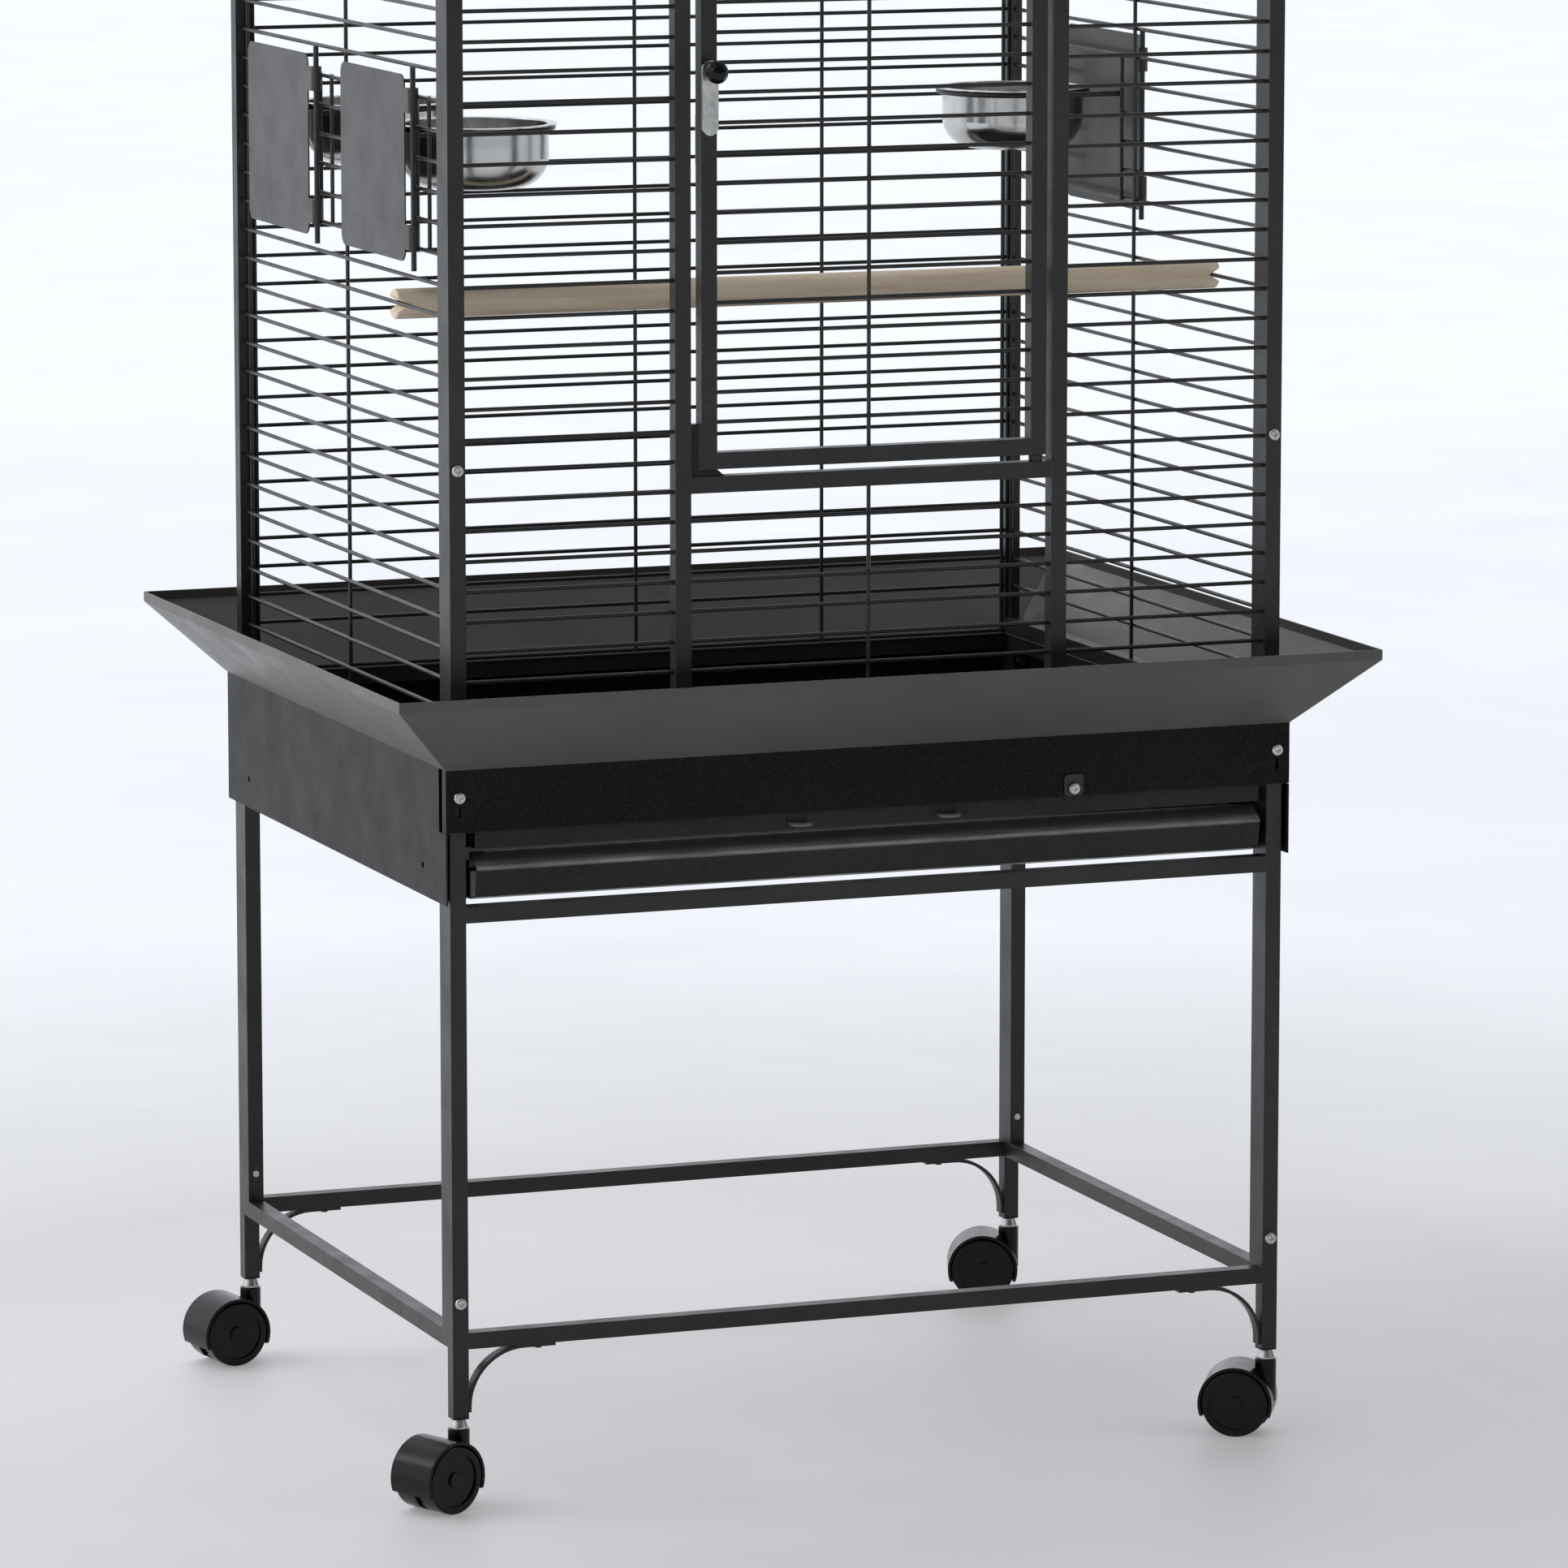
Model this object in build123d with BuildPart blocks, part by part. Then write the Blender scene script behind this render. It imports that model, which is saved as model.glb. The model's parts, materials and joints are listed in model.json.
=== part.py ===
from build123d import *
from math import atan, radians, sin
import os

# A bird cage on a rolling stand, in millimetres. +Z is up, the front faces -Y, and the origin
# is on the floor under the middle of the cage.

# ---- driving sizes -----------------------------------------------------------------------------
STAND_WIDTH = 650.0          # over the legs, along X
STAND_DEPTH = 520.0          # over the legs, along Y
TUBE = 12.0                  # square tube, outside
TUBE_WALL = 1.0
SHEET = 1.2                  # folded sheet steel
WIRE = 3.0                   # grille wire
WIRE_PITCH = 21.75           # centre to centre of the grille wires
WELD_SINK = 0.4              # how deep crossed wires are pressed into each other
CAGE_INSET = 2.0             # cage posts stand this far inside the legs' outer faces

# heights above the floor
LEG_BOTTOM = 66.0
LOWER_RAIL_Z = 116.0         # underside of the lower rails
TRAY_RAIL_Z = 428.0          # underside of the rail in front of the tray
SKIRT_BOTTOM = 442.0         # lower edge of the side and back skirts
APRON_BOTTOM = 494.5         # lower edge of the front apron
STAND_TOP = 540.0
CAGE_HEIGHT = 850.0          # height of the cage's side panels
FIRST_WIRE = 39.0            # first horizontal wire above the stand's top

# skirts and seed guards
SKIRT_GAP = 3.0              # standoff between a leg and the skirt around it
FLANGE_RETURN = 8.0          # the front apron's folded ends
APRON_SLOT = 8.0             # open slot between a folded end and the side skirt
RUNNER_WIDTH = 34.0          # inward flange that carries the tray
GUARD_REACH = 55.4           # how far the seed guards lean out past the legs
GUARD_RISE = 51.0            # height of their slope
GUARD_LIP = 7.5
GUARD_SHEET = 1.0

# tray and grate
SIDE_PLAY = 7.0              # between the legs and the tray or grate
TRAY_PLAY = 0.3              # tray bottom above its runners
TRAY_WALL_HEIGHT = 28.0
TRAY_SHEET = 1.0
GRATE_DROP = 0.7             # gap between the front apron and the grate's front bar
GRATE_PLAY = 0.3
SLIDE_DEPTH = 488.0          # tray and grate, front to back
PULL_SPACING = 116.0
PULL_WIDTH = 14.0

# front panel and its door
DOOR_BAY = 280.0             # clear width between the two inner posts
CROSS_RAIL_Z = 730.0
DOOR_WIRE_PITCH = 21.5
DOOR_HEAD_SPACE = 118.0      # least height of the grille above the door
DOOR_GAP = 5.0               # above and below the door
HINGE_GAP = 4.5              # beside the door on the hinge side
LATCH_GAP = 8.0              # beside the door on the latch side
HINGE_PIN_DIA = 5.0
PIN_FIT = 0.1                # diametral play of every turning pin
DOOR_LATCH_Z = 995.0

# feeder doors, cups and perch
FEEDER_Z = 896.0
FEEDER_HEIGHT = 134.0
FEEDER_BAY = 125.0           # clear length of the opening in the wires
FEEDER_FRONTS_LEFT = (-165.0, 62.0)
FEEDER_FRONTS_RIGHT = (25.0,)
FEEDER_HINGE_STEP = 18.0     # hinge pin ahead of the opening
FEEDER_CARRIER_STEP = 27.0   # wire that stiffens the panel ahead of the hinge
FEEDER_OVERLAP = 13.0        # plate past the rear edge of the opening
FEEDER_LEAD = 10.0           # plate past the front edge of the opening
FEEDER_PIN_DIA = 4.0
CUP_RING_WIRE = 4.0
CUP_RING_SINK = 2.0          # how deep the ring sits in its two arms
CUP_RIM_LAP = 1.0            # cup rim past the ring's wire
CUP_WIRE_GAP = 7.0           # cup rim to the side wires' centre line
CUP_DEPTH = 46.0
CUP_RING_Z = 985.0
PERCH_DIA = 22.0
PERCH_Y = -134.0
PERCH_WIRE = 13              # which horizontal wire carries the perch
PERCH_OVERHANG = 6.0

# casters
WHEEL_RADIUS = 25.0
CASTER_WIDTH = 40.0
CASTER_TRAIL = 21.0
HOOD_SHEET = 2.2
HOOD_PLAY = 0.8
STEM_DIA = 8.0
AXLE_DIA = 6.0
CASTER_ANGLES = {"front_left": 205.0, "front_right": 150.0, "rear_left": 190.0, "rear_right": 159.0}

# fasteners
BOLT_DIA = 5.0
BOLT_HEAD_DIA = 9.0
BOLT_HEAD_HEIGHT = 2.6
STAND_BOLT_HEIGHTS = (150.0, 520.0)
CAGE_BOLT_RISE = 213.0       # lower screws above the cage's bottom
CAGE_BOLT_DROP = 137.0       # upper screws below the cage's top

# ---- places worked out from them ----------------------------------------------------------------
HALF_W = STAND_WIDTH / 2
HALF_D = STAND_DEPTH / 2
LEG_X = HALF_W - TUBE / 2
LEG_Y = HALF_D - TUBE / 2
UPRIGHT_Y = LEG_Y - TUBE
SKIRT_OUT = SKIRT_GAP + SHEET
SLIDE_HALF_W = HALF_W - TUBE - SIDE_PLAY
CAGE_BOTTOM = STAND_TOP + GUARD_SHEET
CAGE_TOP = CAGE_BOTTOM + CAGE_HEIGHT
CAGE_BOLT_HEIGHTS = (CAGE_BOTTOM + CAGE_BOLT_RISE, CAGE_TOP - CAGE_BOLT_DROP)
CAGE_HALF_W = HALF_W - CAGE_INSET
CAGE_HALF_D = HALF_D - CAGE_INSET
POST_X = CAGE_HALF_W - TUBE / 2
POST_Y = CAGE_HALF_D - TUBE / 2
SIDE_POST_Y = POST_Y - TUBE
INNER_POST_X = DOOR_BAY / 2 + TUBE / 2
CROSS_WIRE_STEP = WIRE - WELD_SINK
GRID_Z0 = STAND_TOP + FIRST_WIRE
GRID_COUNT = int((CAGE_TOP - TUBE - GRID_Z0 - WIRE) // WIRE_PITCH) + 1
GRID = [GRID_Z0 + WIRE_PITCH * row for row in range(GRID_COUNT)]
DOOR_BOTTOM = CROSS_RAIL_Z + TUBE + DOOR_GAP
DOOR_WIRE_SPACE = CAGE_TOP - DOOR_HEAD_SPACE - DOOR_GAP - 4 * TUBE - DOOR_BOTTOM
DOOR_GAPS = int(DOOR_WIRE_SPACE // DOOR_WIRE_PITCH)
DOOR_HEIGHT = 2 * TUBE + DOOR_GAPS * DOOR_WIRE_PITCH
DOOR_TOP = DOOR_BOTTOM + DOOR_HEIGHT
HEAD_RAIL_Z = DOOR_TOP + DOOR_GAP
DOOR_LEFT = -DOOR_BAY / 2 + LATCH_GAP
DOOR_RIGHT = DOOR_BAY / 2 - HINGE_GAP
DOOR_HINGE_X = DOOR_RIGHT - TUBE / 2
DOOR_LATCH_X = DOOR_LEFT + TUBE / 2
FEEDER_TOP = FEEDER_Z + FEEDER_HEIGHT
FEEDER_PIN_OUT = FEEDER_PIN_DIA / 2 + 4.5
FEEDER_PIN_X = POST_X + FEEDER_PIN_OUT
SLEEVE_RADIUS = FEEDER_PIN_DIA / 2 + PIN_FIT / 2 + 2.0
SLIDE_FRONT = -HALF_D
SLIDE_BACK = SLIDE_FRONT + SLIDE_DEPTH
TRAY_BOTTOM = SKIRT_BOTTOM + SHEET + TRAY_PLAY
GRATE_TOP = APRON_BOTTOM - GRATE_DROP
GRATE_BOTTOM = GRATE_TOP - TUBE
CORNERS = {
    "front_left": (-1, -1),
    "front_right": (1, -1),
    "rear_left": (-1, 1),
    "rear_right": (1, 1),
}


# ---- tools ----------------------------------------------------------------------------------------
def save(name, shape):
    """Label a finished piece and write it as parts/name.step."""
    shape.label = name
    export_step(shape, f"parts/{name}.step")


def group(*members):
    """Several separate solids that make up one piece of the object."""
    solids = []
    for member in members:
        solids.extend(member.solids())
    return Part(Compound(solids).wrapped)


def tube(start, direction, length, bores=()):
    """A hollow square tube on a straight centre line. Bores are points and their direction."""
    with BuildPart() as member:
        with BuildSketch(Plane(origin=start, z_dir=direction)):
            Rectangle(TUBE, TUBE)
            Rectangle(TUBE - 2 * TUBE_WALL, TUBE - 2 * TUBE_WALL, mode=Mode.SUBTRACT)
        extrude(amount=length)
        for point, bore_direction in bores:
            with BuildSketch(Plane(origin=point, z_dir=bore_direction)):
                Circle((BOLT_DIA + PIN_FIT) / 2)
        if bores:
            extrude(amount=TUBE, both=True, mode=Mode.SUBTRACT)
    return member.part


def wires(*families):
    """Round wires fused into one flat grille. A family is its starts, direction and length."""
    with BuildPart() as mesh:
        for starts, direction, length in families:
            for start in starts:
                with BuildSketch(Plane(origin=start, z_dir=direction)):
                    Circle(WIRE / 2)
            extrude(amount=length)
    return mesh.part


def bolt(head_face, direction, grip):
    """A pan-head bolt. Its head sits on head_face and its shank runs back against direction."""
    with BuildPart() as fastener:
        with BuildSketch(Plane(origin=head_face, z_dir=direction)):
            Circle(BOLT_HEAD_DIA / 2)
        extrude(amount=BOLT_HEAD_HEIGHT)
        rim = fastener.edges().filter_by(GeomType.CIRCLE).sort_by(Axis(head_face, direction))[-1]
        fillet(rim, BOLT_HEAD_HEIGHT * 0.7)
        with BuildSketch(Plane(origin=head_face, z_dir=direction).offset(BOLT_HEAD_HEIGHT)):
            SlotOverall(BOLT_HEAD_DIA * 0.5, 1.1)
            SlotOverall(BOLT_HEAD_DIA * 0.5, 1.1, rotation=90)
        extrude(amount=-1.2, mode=Mode.SUBTRACT)
        with BuildSketch(Plane(origin=head_face, z_dir=direction)):
            Circle(BOLT_DIA / 2)
        extrude(amount=-grip)
    return fastener.part


os.makedirs("parts", exist_ok=True)

# ---- stand: four welded frames --------------------------------------------------------------------
RAIL_X0 = -HALF_W + TUBE
RAIL_LENGTH_X = STAND_WIDTH - 2 * TUBE
RAIL_Y0 = -UPRIGHT_Y + TUBE / 2
RAIL_LENGTH_Y = 2 * (UPRIGHT_Y - TUBE / 2)
LEG_LENGTH = STAND_TOP - LEG_BOTTOM
BASE_BOLT_YS = (-150.0, 150.0)


def end_frame(side_sign, rail_bottoms):
    """Front or rear frame: two legs with level rails welded between them."""
    y = side_sign * LEG_Y
    members = []
    for x in (-LEG_X, LEG_X):
        bores = [((x, y, z), (0, 1, 0)) for z in STAND_BOLT_HEIGHTS]
        members.append(tube((x, y, LEG_BOTTOM), (0, 0, 1), LEG_LENGTH, bores))
    for bottom in rail_bottoms:
        members.append(tube((RAIL_X0, y, bottom + TUBE / 2), (1, 0, 0), RAIL_LENGTH_X))
    return group(*members)


def side_frame(side_sign):
    """Side frame: two uprights behind the legs, a lower rail and a top rail."""
    x = side_sign * LEG_X
    members = []
    for y in (-UPRIGHT_Y, UPRIGHT_Y):
        bores = [((x, y, z), (0, 1, 0)) for z in STAND_BOLT_HEIGHTS]
        members.append(tube((x, y, LOWER_RAIL_Z), (0, 0, 1), STAND_TOP - LOWER_RAIL_Z, bores))
    base_bores = [((side_sign * POST_X, y, STAND_TOP), (0, 0, 1)) for y in BASE_BOLT_YS]
    lower = (x, RAIL_Y0, LOWER_RAIL_Z + TUBE / 2)
    upper = (x, RAIL_Y0, STAND_TOP - TUBE / 2)
    members.append(tube(lower, (0, 1, 0), RAIL_LENGTH_Y))
    members.append(tube(upper, (0, 1, 0), RAIL_LENGTH_Y, base_bores))
    return group(*members)


save("stand_front_frame", end_frame(-1, (LOWER_RAIL_Z, TRAY_RAIL_Z, STAND_TOP - TUBE)))
save("stand_rear_frame", end_frame(1, (LOWER_RAIL_Z, STAND_TOP - TUBE)))
save("stand_left_frame", side_frame(-1))
save("stand_right_frame", side_frame(1))

# ---- stand: corner braces ---------------------------------------------------------------------------
BRACE_WIDTH = 9.0
BRACE_THICKNESS = 2.5
BRACE_RADIUS = 43.0
BRACE_TAB = 24.0             # straight riveted end under the rail
BRACE_FOOT = 4.0             # straight end against the leg
RIVET_DIA = 5.0
RIVET_HEIGHT = 1.4


def brace(sign_x, sign_y):
    """A strip bent to a quarter turn between a leg and the underside of its lower rail."""
    leg_face = sign_x * (HALF_W - TUBE)
    with BuildPart() as strip:
        plane = Plane(origin=(leg_face, sign_y * LEG_Y, LOWER_RAIL_Z), x_dir=(-sign_x, 0, 0),
                      z_dir=(0, sign_x, 0))
        with BuildSketch(plane):
            with BuildLine():
                foot = Line((0, -BRACE_RADIUS - BRACE_FOOT), (0, -BRACE_RADIUS))
                bend = RadiusArc(foot @ 1, (BRACE_RADIUS, 0), BRACE_RADIUS)
                Line(bend @ 1, (BRACE_RADIUS + BRACE_TAB, 0))
                offset(amount=BRACE_THICKNESS, side=Side.RIGHT)
            make_face()
        extrude(amount=BRACE_WIDTH / 2, both=True)
        rivet_x = leg_face - sign_x * (BRACE_RADIUS + BRACE_TAB / 2)
        with BuildSketch(Plane.XY.offset(LOWER_RAIL_Z - BRACE_THICKNESS)):
            with Locations((rivet_x, sign_y * LEG_Y)):
                Circle(RIVET_DIA / 2)
        extrude(amount=-RIVET_HEIGHT)
    return strip.part


save("corner_braces", group(*[brace(*signs) for signs in CORNERS.values()]))

# ---- stand: skirts ----------------------------------------------------------------------------------
SKIRT_X = HALF_W + SKIRT_OUT
SKIRT_Y = HALF_D + SKIRT_OUT
KEYHOLE_WIDTH = 3.6
KEYHOLE_HEIGHT = 9.0
KEYHOLE_DROP = 10.5          # below the apron bolt
SKIRT_HOLE_RADIUS = 2.6
SKIRT_HOLE_Y = 211.0
SKIRT_HOLE_Z = 464.0
LATCH_X = 155.7
LATCH_Z = 500.5

with BuildPart() as front_apron:
    with BuildSketch(Plane.XY.offset(APRON_BOTTOM)):
        with Locations((0, -SKIRT_Y + SHEET / 2)):
            Rectangle(2 * SKIRT_X, SHEET)
        with Locations(*[(sign * (SKIRT_X - SHEET / 2), -SKIRT_Y + FLANGE_RETURN / 2) for sign in (-1, 1)]):
            Rectangle(SHEET, FLANGE_RETURN)
    extrude(amount=STAND_TOP - APRON_BOTTOM)
    for hem_z in (APRON_BOTTOM, STAND_TOP - SHEET):
        with BuildSketch(Plane.XY.offset(hem_z)):
            with Locations((0, -SKIRT_Y + SKIRT_OUT / 2)):
                Rectangle(2 * HALF_W, SKIRT_OUT)
        extrude(amount=SHEET)
    with BuildSketch(Plane.XZ.offset(SKIRT_Y)):
        with Locations((-LEG_X, STAND_BOLT_HEIGHTS[1]), (LEG_X, STAND_BOLT_HEIGHTS[1]), (LATCH_X, LATCH_Z)):
            Circle((BOLT_DIA + PIN_FIT) / 2)
        keyhole_z = STAND_BOLT_HEIGHTS[1] - KEYHOLE_DROP
        with Locations((-LEG_X, keyhole_z), (LEG_X, keyhole_z)):
            SlotOverall(KEYHOLE_HEIGHT, KEYHOLE_WIDTH, rotation=90)
    extrude(amount=-SHEET, mode=Mode.SUBTRACT)
save("front_apron", front_apron.part)

NOTCH_END = -SKIRT_Y + FLANGE_RETURN + APRON_SLOT
NOTCH_PLAY = 0.5
NOTCH_TOP = APRON_BOTTOM - NOTCH_PLAY
RIB_WIDTH = 6.0


def side_skirt(side_sign):
    """Side skirt: outer sheet, standoff ribs on the uprights and a flange that carries the tray."""
    inner = side_sign * (HALF_W + SKIRT_GAP)
    with BuildPart() as skirt:
        with BuildSketch(Plane.YZ.offset(inner)):
            with BuildLine():
                Polyline((-SKIRT_Y, SKIRT_BOTTOM), (SKIRT_Y, SKIRT_BOTTOM), (SKIRT_Y, STAND_TOP),
                         (NOTCH_END, STAND_TOP), (NOTCH_END, NOTCH_TOP), (-SKIRT_Y, NOTCH_TOP), close=True)
            make_face()
            with Locations((-SKIRT_HOLE_Y, SKIRT_HOLE_Z), (SKIRT_HOLE_Y, SKIRT_HOLE_Z)):
                Circle(SKIRT_HOLE_RADIUS, mode=Mode.SUBTRACT)
        extrude(amount=side_sign * SHEET)
        with BuildSketch(Plane.XY.offset(SKIRT_BOTTOM)):
            with Locations((side_sign * (SKIRT_X - RUNNER_WIDTH / 2), 0)):
                Rectangle(RUNNER_WIDTH, RAIL_LENGTH_Y - 2 * NOTCH_PLAY)
        extrude(amount=SHEET)
        with BuildSketch(Plane.XY.offset(SKIRT_BOTTOM)):
            with Locations(*[(side_sign * (HALF_W + SKIRT_GAP / 2), y) for y in (-UPRIGHT_Y, UPRIGHT_Y)]):
                Rectangle(SKIRT_GAP, RIB_WIDTH)
        extrude(amount=STAND_TOP - SKIRT_BOTTOM)
    return skirt.part


save("left_skirt", side_skirt(-1))
save("right_skirt", side_skirt(1))

with BuildPart() as rear_skirt:
    with BuildSketch(Plane.XY.offset(SKIRT_BOTTOM)):
        with Locations((0, SKIRT_Y - SHEET / 2)):
            Rectangle(2 * (HALF_W + SKIRT_GAP), SHEET)
        with Locations((-LEG_X, HALF_D + SKIRT_GAP / 2), (LEG_X, HALF_D + SKIRT_GAP / 2)):
            Rectangle(RIB_WIDTH, SKIRT_GAP)
    extrude(amount=STAND_TOP - SKIRT_BOTTOM)
    with BuildSketch(Plane.XZ.offset(-SKIRT_Y)):
        with Locations((-LEG_X, STAND_BOLT_HEIGHTS[1]), (LEG_X, STAND_BOLT_HEIGHTS[1])):
            Circle((BOLT_DIA + PIN_FIT) / 2)
    extrude(amount=SKIRT_OUT, mode=Mode.SUBTRACT)
save("rear_skirt", rear_skirt.part)

# ---- stand: runners for the grate ---------------------------------------------------------------------
RUNNER_LEDGE = 15.0
RUNNER_LEG = 15.0
RUNNER_TOP = GRATE_BOTTOM - GRATE_PLAY


def grate_runner(side_sign):
    """An angle between the uprights on one side."""
    wall = side_sign * (HALF_W - TUBE)
    with BuildPart() as angle:
        with BuildSketch(Plane.XZ.offset(-(HALF_D - TUBE))):
            with BuildLine():
                Polyline((wall, RUNNER_TOP - SHEET), (wall, RUNNER_TOP + RUNNER_LEG),
                         (wall - side_sign * SHEET, RUNNER_TOP + RUNNER_LEG),
                         (wall - side_sign * SHEET, RUNNER_TOP),
                         (wall - side_sign * RUNNER_LEDGE, RUNNER_TOP),
                         (wall - side_sign * RUNNER_LEDGE, RUNNER_TOP - SHEET), close=True)
            make_face()
        extrude(amount=2 * (HALF_D - TUBE))
    return angle.part


save("grate_runners", group(grate_runner(-1), grate_runner(1)))

# ---- stand: seed guards -------------------------------------------------------------------------------
GUARD_FLANGE = CAGE_INSET + TUBE
GUARD_PROFILE = ((-GUARD_FLANGE, STAND_TOP), (SKIRT_OUT, STAND_TOP),
                 (GUARD_REACH, STAND_TOP + GUARD_RISE), (GUARD_REACH, STAND_TOP + GUARD_RISE + GUARD_LIP))


def seed_guard(side):
    """A sloping panel with a flange under the cage and an upright lip, mitred at both ends."""
    half_length = HALF_W if side in ("front", "rear") else HALF_D
    across = {"front": (0, -1, 0), "rear": (0, 1, 0), "left": (-1, 0, 0), "right": (1, 0, 0)}[side]
    outward = Vector(*across)
    along = outward.cross(Vector(0, 0, 1))
    face = outward * (HALF_D if side in ("front", "rear") else HALF_W)
    run = half_length + GUARD_REACH
    section = Plane(origin=face - along * run, x_dir=outward, z_dir=along)
    with BuildPart() as guard:
        with BuildSketch(section):
            with BuildLine():
                Polyline(*GUARD_PROFILE)
                offset(amount=GUARD_SHEET, side=Side.LEFT)
            make_face()
        extrude(amount=2 * run)
        for end in (-1, 1):
            mitre = Plane(origin=face + along * (end * half_length), z_dir=along * end - outward)
            split(bisect_by=mitre, keep=Keep.BOTTOM)
        if side in ("left", "right"):
            with BuildSketch(Plane.XY.offset(STAND_TOP)):
                with Locations(*[(outward.X * POST_X, y) for y in BASE_BOLT_YS]):
                    Circle((BOLT_DIA + PIN_FIT) / 2)
            extrude(amount=2 * GUARD_SHEET, mode=Mode.SUBTRACT)
    return guard.part


for guard_side in ("front", "rear", "left", "right"):
    save(f"{guard_side}_seed_guard", seed_guard(guard_side))

# ---- tray ---------------------------------------------------------------------------------------------
NOSE_BOTTOM = 447.0
NOSE_REACH = 4.0             # the rolled nose stands this far in front of the legs
NOSE_TOP_GAP = 2.3           # below the grate
NOSE_SHOULDER_Z = 469.0
NOSE_BACK = 14.0
PAN_FRONT = 12.0             # pan bottom starts this far behind the front of the legs
TRAY_TOP = TRAY_BOTTOM + TRAY_WALL_HEIGHT
NOSE_TOP = GRATE_BOTTOM - NOSE_TOP_GAP

NOSE_LIP = 16.0              # the nose's inner edge is folded down by this
NOSE_FOLD = 2.0
TRAY_LENGTH = SLIDE_BACK - SLIDE_FRONT

with BuildPart() as tray:
    with BuildSketch(Plane(origin=(-SLIDE_HALF_W, SLIDE_FRONT, 0), x_dir=(0, 1, 0), z_dir=(1, 0, 0))):
        with BuildLine():
            FilletPolyline((TRAY_LENGTH, TRAY_TOP), (TRAY_LENGTH, TRAY_BOTTOM), (PAN_FRONT, TRAY_BOTTOM),
                           (0, NOSE_BOTTOM), (-NOSE_REACH, NOSE_SHOULDER_Z), (NOSE_BACK, NOSE_TOP),
                           (NOSE_BACK, NOSE_TOP - NOSE_LIP), radius=NOSE_FOLD)
            offset(amount=TRAY_SHEET, side=Side.RIGHT)
        make_face()
    extrude(amount=2 * SLIDE_HALF_W)
    for wall_sign in (-1, 1):
        with BuildSketch(Plane.YZ.offset(wall_sign * SLIDE_HALF_W)):
            wall_y0 = SLIDE_FRONT + NOSE_BACK - TRAY_SHEET / 2
            with Locations(((wall_y0 + SLIDE_BACK) / 2, (TRAY_BOTTOM + TRAY_TOP) / 2)):
                Rectangle(SLIDE_BACK - wall_y0, TRAY_TOP - TRAY_BOTTOM)
        extrude(amount=-wall_sign * TRAY_SHEET)
save("tray", tray.part)

# ---- grate --------------------------------------------------------------------------------------------
GRATE_Z = GRATE_BOTTOM + TUBE / 2
GRATE_FRONT_Y = SLIDE_FRONT + TUBE / 2
GRATE_REAR_Y = SLIDE_BACK - TUBE / 2
grate_members = [tube((-SLIDE_HALF_W, y, GRATE_Z), (1, 0, 0), 2 * SLIDE_HALF_W)
                 for y in (GRATE_FRONT_Y, GRATE_REAR_Y)]
for grate_sign in (-1, 1):
    grate_start = (grate_sign * (SLIDE_HALF_W - TUBE / 2), GRATE_FRONT_Y + TUBE / 2, GRATE_Z)
    grate_members.append(tube(grate_start, (0, 1, 0), GRATE_REAR_Y - GRATE_FRONT_Y - TUBE))
save("grate_frame", group(*grate_members))

GRATE_INNER_X = SLIDE_HALF_W - TUBE
GRATE_COUNT = int(2 * GRATE_INNER_X // WIRE_PITCH)
grate_xs = [(row - (GRATE_COUNT - 1) / 2) * WIRE_PITCH for row in range(GRATE_COUNT)]
grate_length = GRATE_REAR_Y - GRATE_FRONT_Y - TUBE
cross_ys = [GRATE_FRONT_Y + TUBE / 2 + grate_length * share for share in (0.25, 0.5, 0.75)]
save("grate_wires", wires(
    ([(x, GRATE_FRONT_Y + TUBE / 2, GRATE_Z) for x in grate_xs], (0, 1, 0), grate_length),
    ([(-GRATE_INNER_X, y, GRATE_Z - CROSS_WIRE_STEP) for y in cross_ys], (1, 0, 0), 2 * GRATE_INNER_X),
))

PULL_REACH = 9.0
PULL_Z = GRATE_BOTTOM + 4.5
PULL_BEND = 4.0
pull_members = []
for pull_x in (-PULL_SPACING / 2, PULL_SPACING / 2):
    with BuildPart() as pull:
        with BuildLine(Plane.XY.offset(PULL_Z)) as pull_path:
            FilletPolyline((pull_x - PULL_WIDTH / 2, SLIDE_FRONT),
                           (pull_x - PULL_WIDTH / 2, SLIDE_FRONT - PULL_REACH),
                           (pull_x + PULL_WIDTH / 2, SLIDE_FRONT - PULL_REACH),
                           (pull_x + PULL_WIDTH / 2, SLIDE_FRONT), radius=PULL_BEND)
        with BuildSketch(Plane(origin=pull_path.line @ 0, z_dir=pull_path.line % 0)):
            Circle(WIRE / 2)
        sweep(path=pull_path.line)
    pull_members.append(pull.part)
save("grate_pulls", group(*pull_members))

# ---- grate latch --------------------------------------------------------------------------------------
LATCH_PLAY = 0.3
LATCH_PLATE = 1.5
LATCH_WIDTH = 15.0
LATCH_SHORT_END = 5.6
LATCH_CLEAR = 0.6            # turned down, its end stays this far above the grate's wires
LATCH_LONG_END = LATCH_Z - (GRATE_Z + WIRE / 2 + LATCH_CLEAR)
LATCH_BOLT_TAIL = 4.0
LATCH_FACE_Y = SKIRT_Y + LATCH_PLAY + LATCH_PLATE

with BuildPart() as grate_latch:
    with BuildSketch(Plane.XZ.offset(LATCH_FACE_Y - LATCH_PLATE)):
        with Locations((LATCH_X, LATCH_Z + (LATCH_LONG_END - LATCH_SHORT_END) / 2)):
            RectangleRounded(LATCH_WIDTH, LATCH_LONG_END + LATCH_SHORT_END, 3.0)
        with Locations((LATCH_X, LATCH_Z)):
            Circle((BOLT_DIA + PIN_FIT) / 2, mode=Mode.SUBTRACT)
    extrude(amount=LATCH_PLATE)
save("grate_latch", grate_latch.part)

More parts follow.
